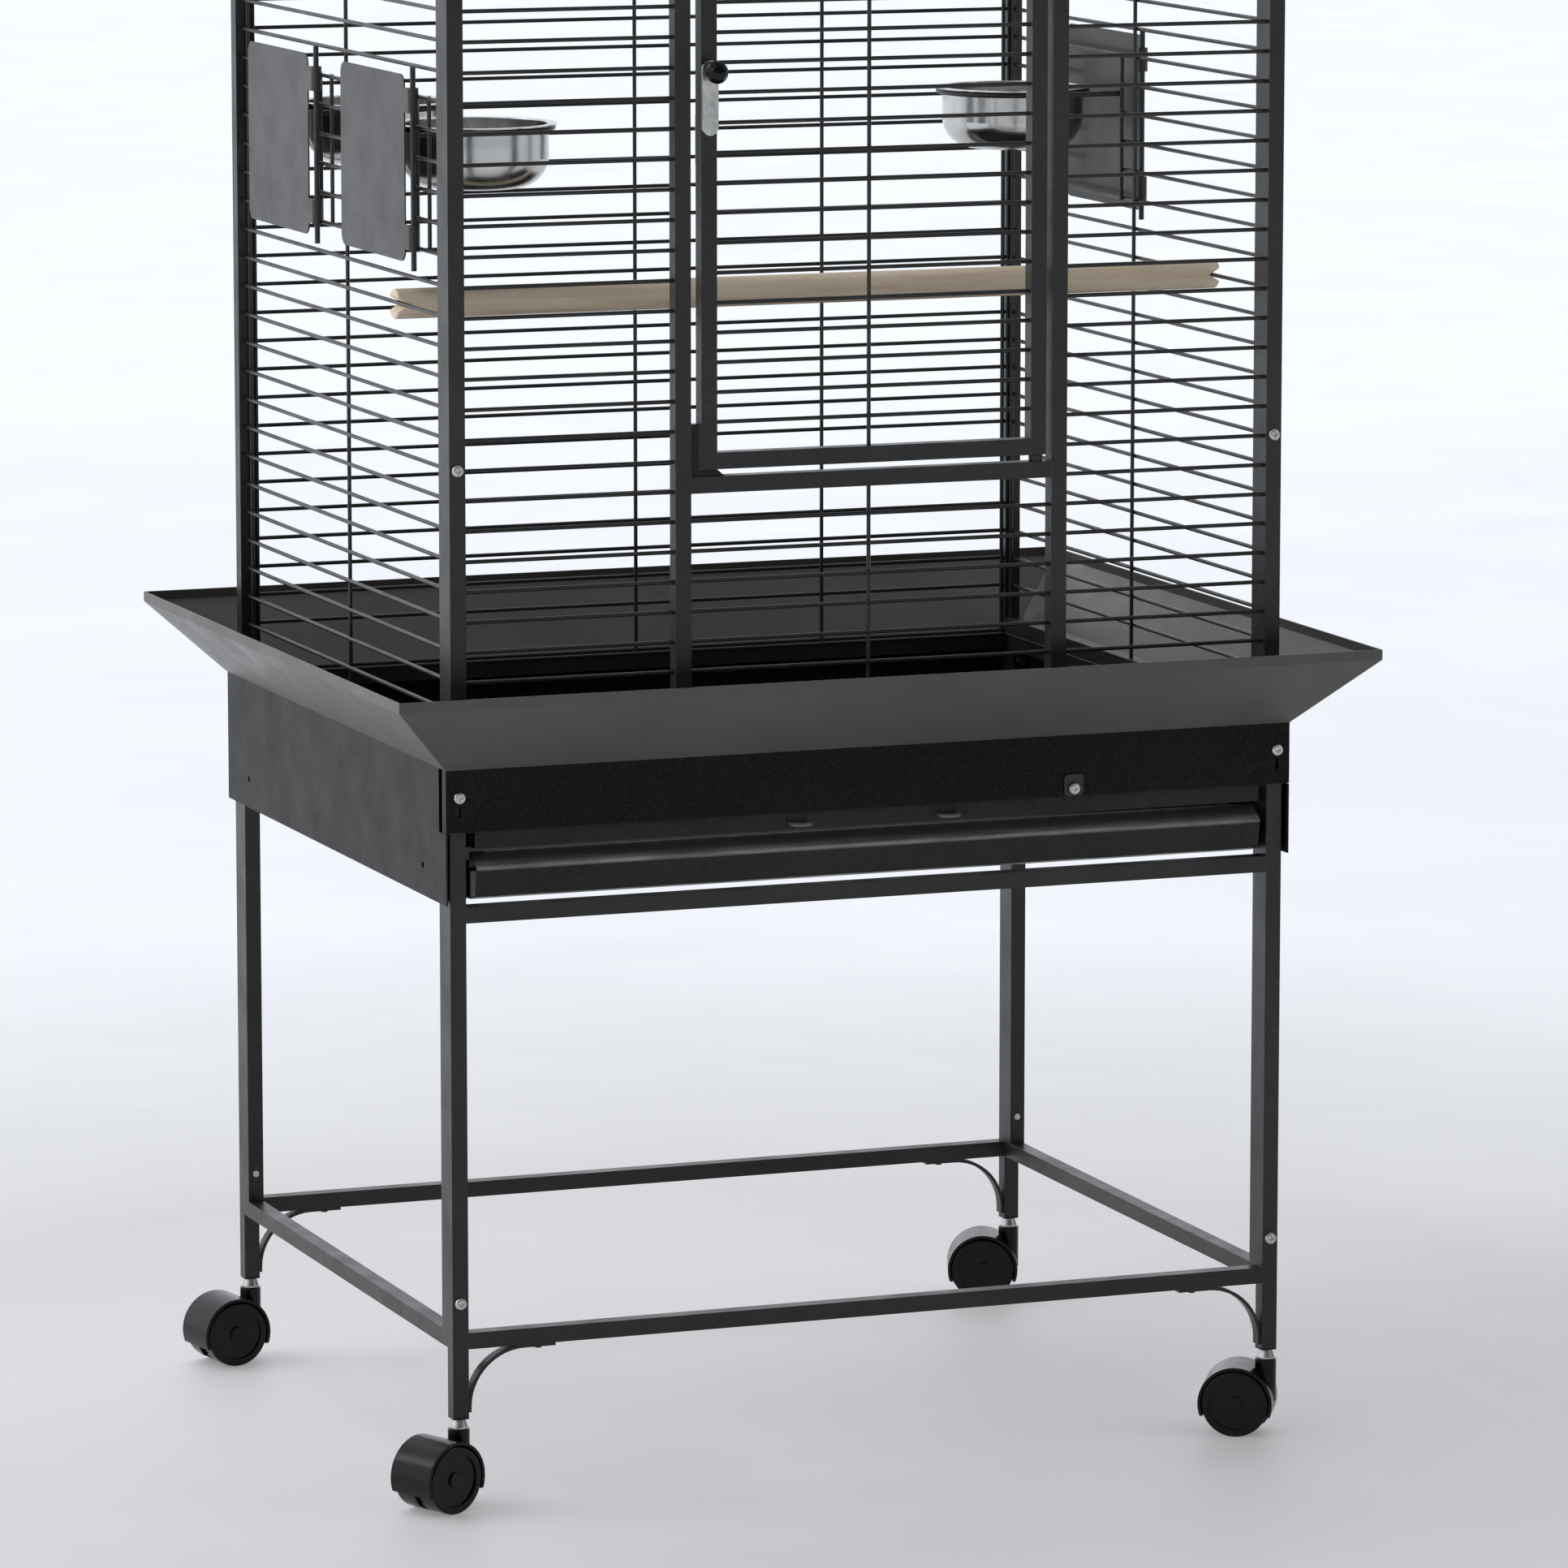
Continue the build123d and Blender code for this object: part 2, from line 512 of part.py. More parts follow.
# ---- cage: frames -------------------------------------------------------------------------------------
CAGE_RAIL_X0 = -CAGE_HALF_W + TUBE
CAGE_RAIL_X = 2 * (CAGE_HALF_W - TUBE)
CAGE_TOP_RAIL_Z = CAGE_TOP - TUBE / 2
CAGE_LOW_RAIL_Z = CAGE_BOTTOM + TUBE / 2

front_members = []
for x in (-POST_X, POST_X):
    post_bores = [((x, -POST_Y, z), (0, 1, 0)) for z in CAGE_BOLT_HEIGHTS]
    front_members.append(tube((x, -POST_Y, CAGE_BOTTOM), (0, 0, 1), CAGE_HEIGHT, post_bores))
for x in (-INNER_POST_X, INNER_POST_X):
    front_members.append(tube((x, -POST_Y, CAGE_BOTTOM + TUBE), (0, 0, 1), CAGE_HEIGHT - 2 * TUBE))
for z in (CAGE_LOW_RAIL_Z, CAGE_TOP_RAIL_Z):
    front_members.append(tube((CAGE_RAIL_X0, -POST_Y, z), (1, 0, 0), CAGE_RAIL_X))
for z in (CROSS_RAIL_Z + TUBE / 2, HEAD_RAIL_Z + TUBE / 2):
    front_members.append(tube((-DOOR_BAY / 2, -POST_Y, z), (1, 0, 0), DOOR_BAY))
save("cage_front_frame", group(*front_members))

SIDE_WIRE_Y0 = -SIDE_POST_Y + TUBE / 2
SIDE_WIRE_Y1 = POST_Y - TUBE / 2
SIDE_WIRE_LENGTH = SIDE_WIRE_Y1 - SIDE_WIRE_Y0


def cage_side_frame(side_sign):
    """Side panel frame: front and rear tubes with a top and a bottom rail."""
    x = side_sign * POST_X
    front_bores = [((x, -SIDE_POST_Y, z), (0, 1, 0)) for z in CAGE_BOLT_HEIGHTS]
    base_bores = [((x, y, CAGE_BOTTOM), (0, 0, 1)) for y in BASE_BOLT_YS]
    return group(
        tube((x, -SIDE_POST_Y, CAGE_BOTTOM), (0, 0, 1), CAGE_HEIGHT, front_bores),
        tube((x, POST_Y, CAGE_BOTTOM), (0, 0, 1), CAGE_HEIGHT),
        tube((x, SIDE_WIRE_Y0, CAGE_LOW_RAIL_Z), (0, 1, 0), SIDE_WIRE_LENGTH, base_bores),
        tube((x, SIDE_WIRE_Y0, CAGE_TOP_RAIL_Z), (0, 1, 0), SIDE_WIRE_LENGTH),
    )


save("cage_left_frame", cage_side_frame(-1))
save("cage_right_frame", cage_side_frame(1))

# ---- cage: grilles ------------------------------------------------------------------------------------
BAY_WIRE_LENGTH = CAGE_HALF_W - 2 * TUBE - DOOR_BAY / 2
front_bay_starts = {
    "front_left_grille": -CAGE_HALF_W + TUBE,
    "front_right_grille": DOOR_BAY / 2 + TUBE,
}
for grille_name, start_x in front_bay_starts.items():
    save(grille_name, group(wires(([(start_x, -POST_Y, z) for z in GRID], (1, 0, 0), BAY_WIRE_LENGTH))))


def middle_grille(low, high):
    """Wires between the inner posts with one upright wire in the middle."""
    rows = [z for z in GRID if low + WIRE < z < high - WIRE]
    return wires(
        ([(-DOOR_BAY / 2, -POST_Y, z) for z in rows], (1, 0, 0), DOOR_BAY),
        ([(0, -POST_Y + CROSS_WIRE_STEP, low)], (0, 0, 1), high - low),
    )


save("front_lower_grille", middle_grille(CAGE_BOTTOM + TUBE, CROSS_RAIL_Z))
save("front_upper_grille", middle_grille(HEAD_RAIL_Z + TUBE, CAGE_TOP - TUBE))

FEEDER_LAP = 18.0            # plate past the upper and lower wires of its opening
EDGE_WIRE_IN = WIRE / 2 + 1.0


def side_grille(side_sign, feeder_fronts):
    """Side panel wires, left out where the cups pass through and stiffened beside each opening."""
    x = side_sign * POST_X
    x_upright = side_sign * (POST_X - CROSS_WIRE_STEP)
    bay_rows = [z for z in GRID if FEEDER_Z + FEEDER_LAP < z < FEEDER_TOP - FEEDER_LAP]
    full_rows = [z for z in GRID if z not in bay_rows]
    families = [([(x, SIDE_WIRE_Y0, z) for z in full_rows], (0, 1, 0), SIDE_WIRE_LENGTH)]
    strip_start = SIDE_WIRE_Y0
    for front in feeder_fronts:
        families.append(([(x, strip_start, z) for z in bay_rows], (0, 1, 0), front - strip_start))
        strip_start = front + FEEDER_BAY
    families.append(([(x, strip_start, z) for z in bay_rows], (0, 1, 0), SIDE_WIRE_Y1 - strip_start))
    short_low = bay_rows[0] - WIRE_PITCH - WIRE / 2
    short_length = bay_rows[-1] + WIRE_PITCH + WIRE / 2 - short_low
    short_ys = []
    for front in feeder_fronts:
        short_ys += [front, front + FEEDER_BAY, front - FEEDER_CARRIER_STEP]
    families.append(([(x_upright, y, short_low) for y in short_ys], (0, 0, 1), short_length))
    tall_low = CAGE_BOTTOM + TUBE
    tall_length = CAGE_HEIGHT - 2 * TUBE
    tall_ys = (0, SIDE_WIRE_Y1 - EDGE_WIRE_IN)
    families.append(([(x_upright, y, tall_low) for y in tall_ys], (0, 0, 1), tall_length))
    return wires(*families)


save("left_grille", side_grille(-1, FEEDER_FRONTS_LEFT))
save("right_grille", side_grille(1, FEEDER_FRONTS_RIGHT))

REAR_INNER_X = CAGE_HALF_W - TUBE
REAR_UPRIGHT_STEP = REAR_INNER_X / 2
rear_rows = [CAGE_BOTTOM + WIRE / 2] + GRID + [CAGE_TOP - WIRE / 2]
REAR_EDGE_X = REAR_INNER_X - EDGE_WIRE_IN
rear_upright_xs = (-REAR_EDGE_X, -REAR_UPRIGHT_STEP, 0, REAR_UPRIGHT_STEP, REAR_EDGE_X)
save("rear_grille", wires(
    ([(-REAR_INNER_X, POST_Y, z) for z in rear_rows], (1, 0, 0), 2 * REAR_INNER_X),
    ([(x, POST_Y - CROSS_WIRE_STEP, CAGE_BOTTOM) for x in rear_upright_xs], (0, 0, 1), CAGE_HEIGHT),
))

# ---- cage: roof ---------------------------------------------------------------------------------------
ROOF_Z = CAGE_TOP + TUBE / 2
ROOF_TOP = CAGE_TOP + TUBE
roof_members = []
for y in (-POST_Y, POST_Y):
    roof_bores = [((x, y, ROOF_Z), (0, 0, 1)) for x in (-POST_X, POST_X)]
    roof_members.append(tube((-CAGE_HALF_W, y, ROOF_Z), (1, 0, 0), 2 * CAGE_HALF_W, roof_bores))
ROOF_INNER_Y = POST_Y - TUBE / 2
for x in (-POST_X, POST_X):
    roof_members.append(tube((x, -ROOF_INNER_Y, ROOF_Z), (0, 1, 0), 2 * ROOF_INNER_Y))
save("roof_frame", group(*roof_members))

ROOF_COUNT = int(2 * REAR_INNER_X // WIRE_PITCH)
roof_xs = [(row - (ROOF_COUNT - 1) / 2) * WIRE_PITCH for row in range(ROOF_COUNT)]
save("roof_grille", wires(
    ([(x, -ROOF_INNER_Y, ROOF_Z) for x in roof_xs], (0, 1, 0), 2 * ROOF_INNER_Y),
    ([(-REAR_INNER_X, y, ROOF_Z - CROSS_WIRE_STEP) for y in (-ROOF_INNER_Y / 2, 0, ROOF_INNER_Y / 2)],
     (1, 0, 0), 2 * REAR_INNER_X),
))

# ---- bolts --------------------------------------------------------------------------------------------
stand_bolts = []
for x in (-LEG_X, LEG_X):
    stand_bolts.append(bolt((x, -HALF_D, STAND_BOLT_HEIGHTS[0]), (0, -1, 0), 2 * TUBE))
    stand_bolts.append(bolt((x, -SKIRT_Y, STAND_BOLT_HEIGHTS[1]), (0, -1, 0), 2 * TUBE + SKIRT_OUT))
    stand_bolts.append(bolt((x, HALF_D, STAND_BOLT_HEIGHTS[0]), (0, 1, 0), 2 * TUBE))
    stand_bolts.append(bolt((x, SKIRT_Y, STAND_BOLT_HEIGHTS[1]), (0, 1, 0), 2 * TUBE + SKIRT_OUT))
latch_grip = 2 * LATCH_PLAY + LATCH_PLATE + SHEET + LATCH_BOLT_TAIL
stand_bolts.append(bolt((LATCH_X, -LATCH_FACE_Y - LATCH_PLAY, LATCH_Z), (0, -1, 0), latch_grip))
save("stand_bolts", group(*stand_bolts))

cage_bolts = []
for x in (-POST_X, POST_X):
    for z in CAGE_BOLT_HEIGHTS:
        cage_bolts.append(bolt((x, -CAGE_HALF_D, z), (0, -1, 0), 2 * TUBE))
    for y in (-POST_Y, POST_Y):
        cage_bolts.append(bolt((x, y, ROOF_TOP), (0, 0, 1), 1.5 * TUBE))
    for y in BASE_BOLT_YS:
        cage_bolts.append(bolt((x, y, CAGE_BOTTOM + TUBE), (0, 0, 1), 2 * TUBE + GUARD_SHEET))
save("cage_bolts", group(*cage_bolts))

# ---- front door ---------------------------------------------------------------------------------------
DOOR_STILE_BORES = [((DOOR_LATCH_X, -POST_Y, DOOR_LATCH_Z), (0, 1, 0))]
BEARING_HEIGHT = 5.0


def pin_bearing(z_low):
    """A square plug in the end of the hinge stile, bored for the hinge pin."""
    with BuildPart() as plug:
        with BuildSketch(Plane.XY.offset(z_low)):
            with Locations((DOOR_HINGE_X, -POST_Y)):
                Rectangle(TUBE - 2 * TUBE_WALL, TUBE - 2 * TUBE_WALL)
                Circle((HINGE_PIN_DIA + PIN_FIT) / 2, mode=Mode.SUBTRACT)
        extrude(amount=BEARING_HEIGHT)
    return plug.part


DOOR_RAIL_LENGTH = DOOR_RIGHT - DOOR_LEFT - 2 * TUBE
save("door_frame", group(
    tube((DOOR_LATCH_X, -POST_Y, DOOR_BOTTOM), (0, 0, 1), DOOR_HEIGHT, DOOR_STILE_BORES),
    tube((DOOR_HINGE_X, -POST_Y, DOOR_BOTTOM), (0, 0, 1), DOOR_HEIGHT),
    tube((DOOR_LEFT + TUBE, -POST_Y, DOOR_BOTTOM + TUBE / 2), (1, 0, 0), DOOR_RAIL_LENGTH),
    tube((DOOR_LEFT + TUBE, -POST_Y, DOOR_TOP - TUBE / 2), (1, 0, 0), DOOR_RAIL_LENGTH),
    pin_bearing(DOOR_BOTTOM),
    pin_bearing(DOOR_TOP - BEARING_HEIGHT),
))
door_rows = [DOOR_BOTTOM + TUBE + DOOR_WIRE_PITCH * row for row in range(1, DOOR_GAPS)]
save("door_grille", wires(
    ([(DOOR_LEFT + TUBE, -POST_Y, z) for z in door_rows], (1, 0, 0), DOOR_RAIL_LENGTH),
    ([(0, -POST_Y + CROSS_WIRE_STEP, DOOR_BOTTOM + TUBE)], (0, 0, 1), DOOR_HEIGHT - 2 * TUBE),
))

COLLAR_DIA = 10.0
COLLAR_PLAY = 0.4
PIN_REACH = 8.0


def door_pin(face_z, up):
    """A hinge pin with a collar, welded to a rail and reaching into the door's stile."""
    with BuildPart() as pin:
        with BuildSketch(Plane.XY.offset(face_z)):
            with Locations((DOOR_HINGE_X, -POST_Y)):
                Circle(COLLAR_DIA / 2)
        extrude(amount=up * (DOOR_GAP - COLLAR_PLAY))
        with BuildSketch(Plane.XY.offset(face_z)):
            with Locations((DOOR_HINGE_X, -POST_Y)):
                Circle(HINGE_PIN_DIA / 2)
        extrude(amount=up * (DOOR_GAP + PIN_REACH))
    return pin.part


save("door_hinge_pins", group(door_pin(CROSS_RAIL_Z + TUBE, 1), door_pin(HEAD_RAIL_Z, -1)))

STOP_HEIGHT = 38.0
STOP_LENGTH = 26.0
STOP_SIDE = 6.5
STOP_PLAY = 0.5
with BuildPart() as door_stop:
    with BuildSketch(Plane.XZ.offset(CAGE_HALF_D - 2.0)):
        stop_x = -DOOR_BAY / 2
        stop_z = CROSS_RAIL_Z + TUBE
        with BuildLine():
            Polyline((stop_x, stop_z), (stop_x + STOP_LENGTH, stop_z),
                     (stop_x + STOP_LENGTH - DOOR_GAP, stop_z + DOOR_GAP - STOP_PLAY),
                     (stop_x + STOP_SIDE, stop_z + DOOR_GAP - STOP_PLAY),
                     (stop_x + STOP_SIDE, stop_z + STOP_HEIGHT),
                     (stop_x, stop_z + STOP_HEIGHT), close=True)
        make_face()
    extrude(amount=-8.0)
save("door_stop", door_stop.part)

# ---- door latch ---------------------------------------------------------------------------------------
LATCH_BAR = 3.0
LEVER_LENGTH = 46.0
LEVER_TAIL = 8.0
TONGUE_LENGTH = 32.0
TONGUE_WIDTH = 10.0
BAR_PLAY = 0.4
KNOB_RADIUS = 8.0
LEVER_FRONT = CAGE_HALF_D + BAR_PLAY + LATCH_BAR
TONGUE_FRONT = CAGE_HALF_D - TUBE - BAR_PLAY

with BuildPart() as door_latch:
    with BuildSketch(Plane.XZ.offset(LEVER_FRONT - LATCH_BAR)):
        with Locations((DOOR_LATCH_X, DOOR_LATCH_Z + (LEVER_LENGTH - LEVER_TAIL) / 2)):
            SlotOverall(LEVER_LENGTH + LEVER_TAIL, TUBE, rotation=90)
    extrude(amount=LATCH_BAR)
    with BuildSketch(Plane.XZ.offset(TONGUE_FRONT)):
        with Locations((DOOR_LATCH_X, DOOR_LATCH_Z - (TONGUE_LENGTH - LEVER_TAIL) / 2)):
            RectangleRounded(TONGUE_WIDTH, TONGUE_LENGTH + LEVER_TAIL, 3.0)
    extrude(amount=-LATCH_BAR)
    with BuildSketch(Plane.XZ.offset(LEVER_FRONT)):
        with Locations((DOOR_LATCH_X, DOOR_LATCH_Z)):
            Circle(BOLT_DIA / 2)
    extrude(amount=-(LEVER_FRONT - TONGUE_FRONT + LATCH_BAR))
save("door_latch", door_latch.part)

KNOB_STEM = 6.0
KNOB_Z = DOOR_LATCH_Z + LEVER_LENGTH - LEVER_TAIL
with BuildPart() as door_knob:
    with BuildSketch(Plane(origin=(DOOR_LATCH_X, -LEVER_FRONT, KNOB_Z), x_dir=(1, 0, 0), z_dir=(0, 0, 1))):
        with BuildLine():
            Polyline((0, 0), (4.0, 0), (3.2, -KNOB_STEM), (KNOB_RADIUS, -KNOB_STEM - 4.0),
                     (KNOB_RADIUS, -KNOB_STEM - 9.0), (KNOB_RADIUS - 3.0, -KNOB_STEM - 13.0),
                     (0, -KNOB_STEM - 14.0), close=True)
        make_face()
    revolve(axis=Axis((DOOR_LATCH_X, -LEVER_FRONT, KNOB_Z), (0, 1, 0)))
    fillet(door_knob.edges().filter_by(GeomType.CIRCLE).sort_by(Axis.Y)[:3], 1.5)
save("door_latch_knob", door_knob.part)

# ---- feeder doors, their pins, cups and rings -----------------------------------------------------------
PLATE_SHEET = 1.0
LEAF_HEIGHT = 18.0
PLATE_CORNER = 9.0
PIN_OVERRUN = 6.0
PLATE_IN = FEEDER_PIN_X + SLEEVE_RADIUS - PLATE_SHEET


def feeder_door(side_sign, front):
    """A plate over a cup opening with two hinge leaves rolled round the pin at its front edge."""
    pin_y = front - FEEDER_HINGE_STEP
    plate_front = front - FEEDER_LEAD
    plate_back = front + FEEDER_BAY + FEEDER_OVERLAP
    with BuildPart() as door:
        with BuildSketch(Plane.YZ.offset(side_sign * PLATE_IN)):
            with Locations(((plate_front + plate_back) / 2, FEEDER_Z + FEEDER_HEIGHT / 2)):
                RectangleRounded(plate_back - plate_front, FEEDER_HEIGHT, PLATE_CORNER)
            for leaf_z in (FEEDER_Z + PLATE_CORNER, FEEDER_TOP - PLATE_CORNER - LEAF_HEIGHT):
                with Locations(((pin_y + plate_front) / 2 + 1.0, leaf_z + LEAF_HEIGHT / 2)):
                    Rectangle(plate_front - pin_y + 2.0, LEAF_HEIGHT)
        extrude(amount=side_sign * PLATE_SHEET)
        for leaf_z in (FEEDER_Z + PLATE_CORNER, FEEDER_TOP - PLATE_CORNER - LEAF_HEIGHT):
            with BuildSketch(Plane.XY.offset(leaf_z)):
                with Locations((side_sign * FEEDER_PIN_X, pin_y)):
                    Circle(SLEEVE_RADIUS)
            extrude(amount=LEAF_HEIGHT)
            with BuildSketch(Plane.XY.offset(leaf_z)):
                with Locations((side_sign * FEEDER_PIN_X, pin_y)):
                    Circle((FEEDER_PIN_DIA + PIN_FIT) / 2)
            extrude(amount=LEAF_HEIGHT, mode=Mode.SUBTRACT)
    return door.part


def feeder_pin(side_sign, front):
    """The upright hinge pin of a feeder door, held off the wires by two welded pads."""
    pin_y = front - FEEDER_HINGE_STEP
    clear_low = FEEDER_Z + PLATE_CORNER + LEAF_HEIGHT + FEEDER_PIN_DIA
    clear_high = FEEDER_TOP - PLATE_CORNER - LEAF_HEIGHT - FEEDER_PIN_DIA
    pad_rows = [z for z in GRID if clear_low < z < clear_high]
    with BuildPart() as pin:
        with BuildSketch(Plane.XY.offset(FEEDER_Z - PIN_OVERRUN)):
            with Locations((side_sign * FEEDER_PIN_X, pin_y)):
                Circle(FEEDER_PIN_DIA / 2)
        extrude(amount=FEEDER_HEIGHT + 2 * PIN_OVERRUN)
        with BuildSketch(Plane.YZ.offset(side_sign * FEEDER_PIN_X)):
            with Locations((pin_y, pad_rows[0]), (pin_y, pad_rows[-1])):
                Circle(WIRE / 2)
        extrude(amount=-side_sign * (FEEDER_PIN_OUT - WIRE / 2))
    return pin.part


CUP_ARM_Y = FEEDER_BAY / 2 - WIRE / 2 - CUP_RING_WIRE / 2
CUP_RING_RADIUS = CUP_ARM_Y - CUP_RING_SINK
CUP_RIM = CUP_RING_RADIUS + CUP_RING_WIRE / 2 + CUP_RIM_LAP
CUP_INSET = CUP_RIM + CUP_WIRE_GAP
CUP_X = POST_X - CUP_INSET


def cup_ring(side_sign, front):
    """A round wire ring on two straight arms that are welded to the opening's edge wires."""
    centre_y = front + FEEDER_BAY / 2
    with BuildPart() as ring:
        centre = (side_sign * CUP_X, centre_y, CUP_RING_Z)
        with BuildSketch(Plane(origin=centre, x_dir=(0, 1, 0), z_dir=(1, 0, 0))):
            with Locations((CUP_RING_RADIUS, 0)):
                Circle(CUP_RING_WIRE / 2)
        revolve(axis=Axis(centre, (0, 0, 1)))
        with BuildSketch(Plane.YZ.offset(side_sign * (POST_X - 1.0))):
            with Locations((centre_y - CUP_ARM_Y, CUP_RING_Z), (centre_y + CUP_ARM_Y, CUP_RING_Z)):
                Circle(CUP_RING_WIRE / 2)
        extrude(amount=-side_sign * (CUP_INSET - 1.0))
    return ring.part


CUP_WALL = 0.9
CUP_RADIUS = CUP_RING_RADIUS - CUP_RING_WIRE / 2 - 1.0
CUP_BASE_RADIUS = 30.0
CUP_REST = 0.3
CUP_RIM_Z = CUP_RING_Z + CUP_RING_WIRE / 2 + CUP_REST
CUP_BEND = 22.0


def cup(side_sign, front):
    """A spun steel cup whose rim rests on its ring."""
    centre = (side_sign * CUP_X, front + FEEDER_BAY / 2, CUP_RIM_Z)
    with BuildPart() as bowl:
        with BuildSketch(Plane(origin=centre, x_dir=(1, 0, 0), z_dir=(0, -1, 0))):
            with BuildLine():
                floor = Line((0, -CUP_DEPTH), (CUP_BASE_RADIUS, -CUP_DEPTH))
                wall = TangentArc(floor @ 1, (CUP_RADIUS, -CUP_DEPTH + CUP_BEND), tangent=floor % 1)
                Polyline(wall @ 1, (CUP_RADIUS, 0), (CUP_RIM, 0))
                offset(amount=CUP_WALL, side=Side.LEFT)
            make_face()
        revolve(axis=Axis(centre, (0, 0, 1)))
    return bowl.part


feeder_places = {
    "left_front": (-1, FEEDER_FRONTS_LEFT[0]),
    "left_rear": (-1, FEEDER_FRONTS_LEFT[1]),
    "right": (1, FEEDER_FRONTS_RIGHT[0]),
}
for place_name, place in feeder_places.items():
    save(f"feeder_door_{place_name}", feeder_door(*place))
    save(f"cup_ring_{place_name}", cup_ring(*place))
    save(f"cup_{place_name}", cup(*place))
save("feeder_hinge_pins", group(*[feeder_pin(*place) for place in feeder_places.values()]))

# ---- perch --------------------------------------------------------------------------------------------
PERCH_Z = GRID[PERCH_WIRE]
PERCH_HALF = POST_X + PERCH_OVERHANG
PERCH_PLAY = 0.04            # between a notch's sides and the wire it sits on
NOTCH_SLOPE = 0.6
NOTCH_DEPTH = PERCH_OVERHANG + (WIRE / 2 + PERCH_PLAY) / sin(atan(NOTCH_SLOPE))
with BuildPart() as perch:
    with BuildSketch(Plane.YZ.offset(-PERCH_HALF)):
        with Locations((PERCH_Y, PERCH_Z)):
            Circle(PERCH_DIA / 2)
    extrude(amount=2 * PERCH_HALF)
    chamfer(perch.edges().filter_by(GeomType.CIRCLE), 1.0)
    with BuildSketch(Plane.XZ.offset(-PERCH_Y)):
        for sign in (-1, 1):
            mouth_x = sign * (PERCH_HALF + 1)
            mouth_rise = NOTCH_SLOPE * (NOTCH_DEPTH + 1)
            with BuildLine():
                Polyline((sign * (PERCH_HALF - NOTCH_DEPTH), PERCH_Z), (mouth_x, PERCH_Z + mouth_rise),
                         (mouth_x, PERCH_Z - mouth_rise), close=True)
            make_face()
    extrude(amount=PERCH_DIA, both=True, mode=Mode.SUBTRACT)
save("perch", perch.part)

# ---- casters ------------------------------------------------------------------------------------------
HOOD_INNER = WHEEL_RADIUS + HOOD_PLAY
HOOD_OUTER = HOOD_INNER + HOOD_SHEET
WEB_THICKNESS = 4.0
WHEEL_GAP = 0.5
NECK_RADIUS = 8.0
NECK_TOP = 57.0
STEM_BOTTOM = 46.0
STEM_PLAY = 0.4
STEM_COLLAR_RADIUS = 6.6
STEM_COLLAR = 1.2
STEM_TAPER_RADIUS = 4.8
STEM_TOP = LEG_BOTTOM + 22.0
SOCKET_FLANGE = 1.5
SOCKET_DEPTH = 24.0
HOOD_TAIL_ANGLE = 20.0       # the hood's ends drop this far below the axle
WEB_CLEARANCE = 7.0          # web above the floor
DISH_RADIUS = 19.5
DISH_DEPTH = 1.6
HUB_RADIUS = 6.0
WHEEL_EDGE = 1.5
AXLE_PLANE = Plane(origin=(CASTER_TRAIL, 0, WHEEL_RADIUS), x_dir=(1, 0, 0), z_dir=(0, -1, 0))

with BuildPart() as hood:
    with BuildSketch(Plane.XY.offset(WHEEL_RADIUS)):
        Circle(NECK_RADIUS)
    extrude(amount=NECK_TOP - WHEEL_RADIUS)
    with BuildSketch(AXLE_PLANE):
        Circle(HOOD_OUTER)
    extrude(amount=CASTER_WIDTH / 2, both=True)
    with BuildSketch(AXLE_PLANE):
        Circle(HOOD_INNER)
    extrude(amount=CASTER_WIDTH, both=True, mode=Mode.SUBTRACT)
    with BuildSketch(AXLE_PLANE):
        with Locations((0, -HOOD_OUTER - HOOD_OUTER * sin(radians(HOOD_TAIL_ANGLE)))):
            Rectangle(4 * HOOD_OUTER, 2 * HOOD_OUTER)
    extrude(amount=CASTER_WIDTH, both=True, mode=Mode.SUBTRACT)
    with BuildSketch(AXLE_PLANE):
        Circle(HOOD_INNER + HOOD_SHEET / 2)
        with Locations((0, -2 * WHEEL_RADIUS + WEB_CLEARANCE)):
            Rectangle(4 * WHEEL_RADIUS, 2 * WHEEL_RADIUS, mode=Mode.SUBTRACT)
        Circle((AXLE_DIA + PIN_FIT) / 2, mode=Mode.SUBTRACT)
    extrude(amount=WEB_THICKNESS / 2, both=True)
    with BuildSketch(Plane.XY.offset(STEM_BOTTOM - STEM_PLAY)):
        Circle((STEM_DIA + PIN_FIT) / 2)
    extrude(amount=NECK_TOP, mode=Mode.SUBTRACT)

WHEEL_WIDTH = (CASTER_WIDTH - WEB_THICKNESS - 2 * WHEEL_GAP) / 2


def caster_wheel(wheel_side):
    """One disc wheel with a dished outer face around a raised hub."""
    inner = AXLE_PLANE.offset(wheel_side * (WEB_THICKNESS / 2 + WHEEL_GAP))
    with BuildPart() as wheel:
        with BuildSketch(inner):
            Circle(WHEEL_RADIUS)
        extrude(amount=wheel_side * WHEEL_WIDTH)
        fillet(wheel.edges().filter_by(GeomType.CIRCLE), WHEEL_EDGE)
        with BuildSketch(AXLE_PLANE.offset(wheel_side * CASTER_WIDTH / 2)):
            Circle(DISH_RADIUS)
            Circle(HUB_RADIUS, mode=Mode.SUBTRACT)
        extrude(amount=-wheel_side * DISH_DEPTH, mode=Mode.SUBTRACT)
    return wheel.part


with BuildPart() as axle:
    with BuildSketch(AXLE_PLANE):
        Circle(AXLE_DIA / 2)
    extrude(amount=WEB_THICKNESS / 2 + WHEEL_GAP, both=True)
wheel_pair = group(caster_wheel(-1), caster_wheel(1), axle.part)

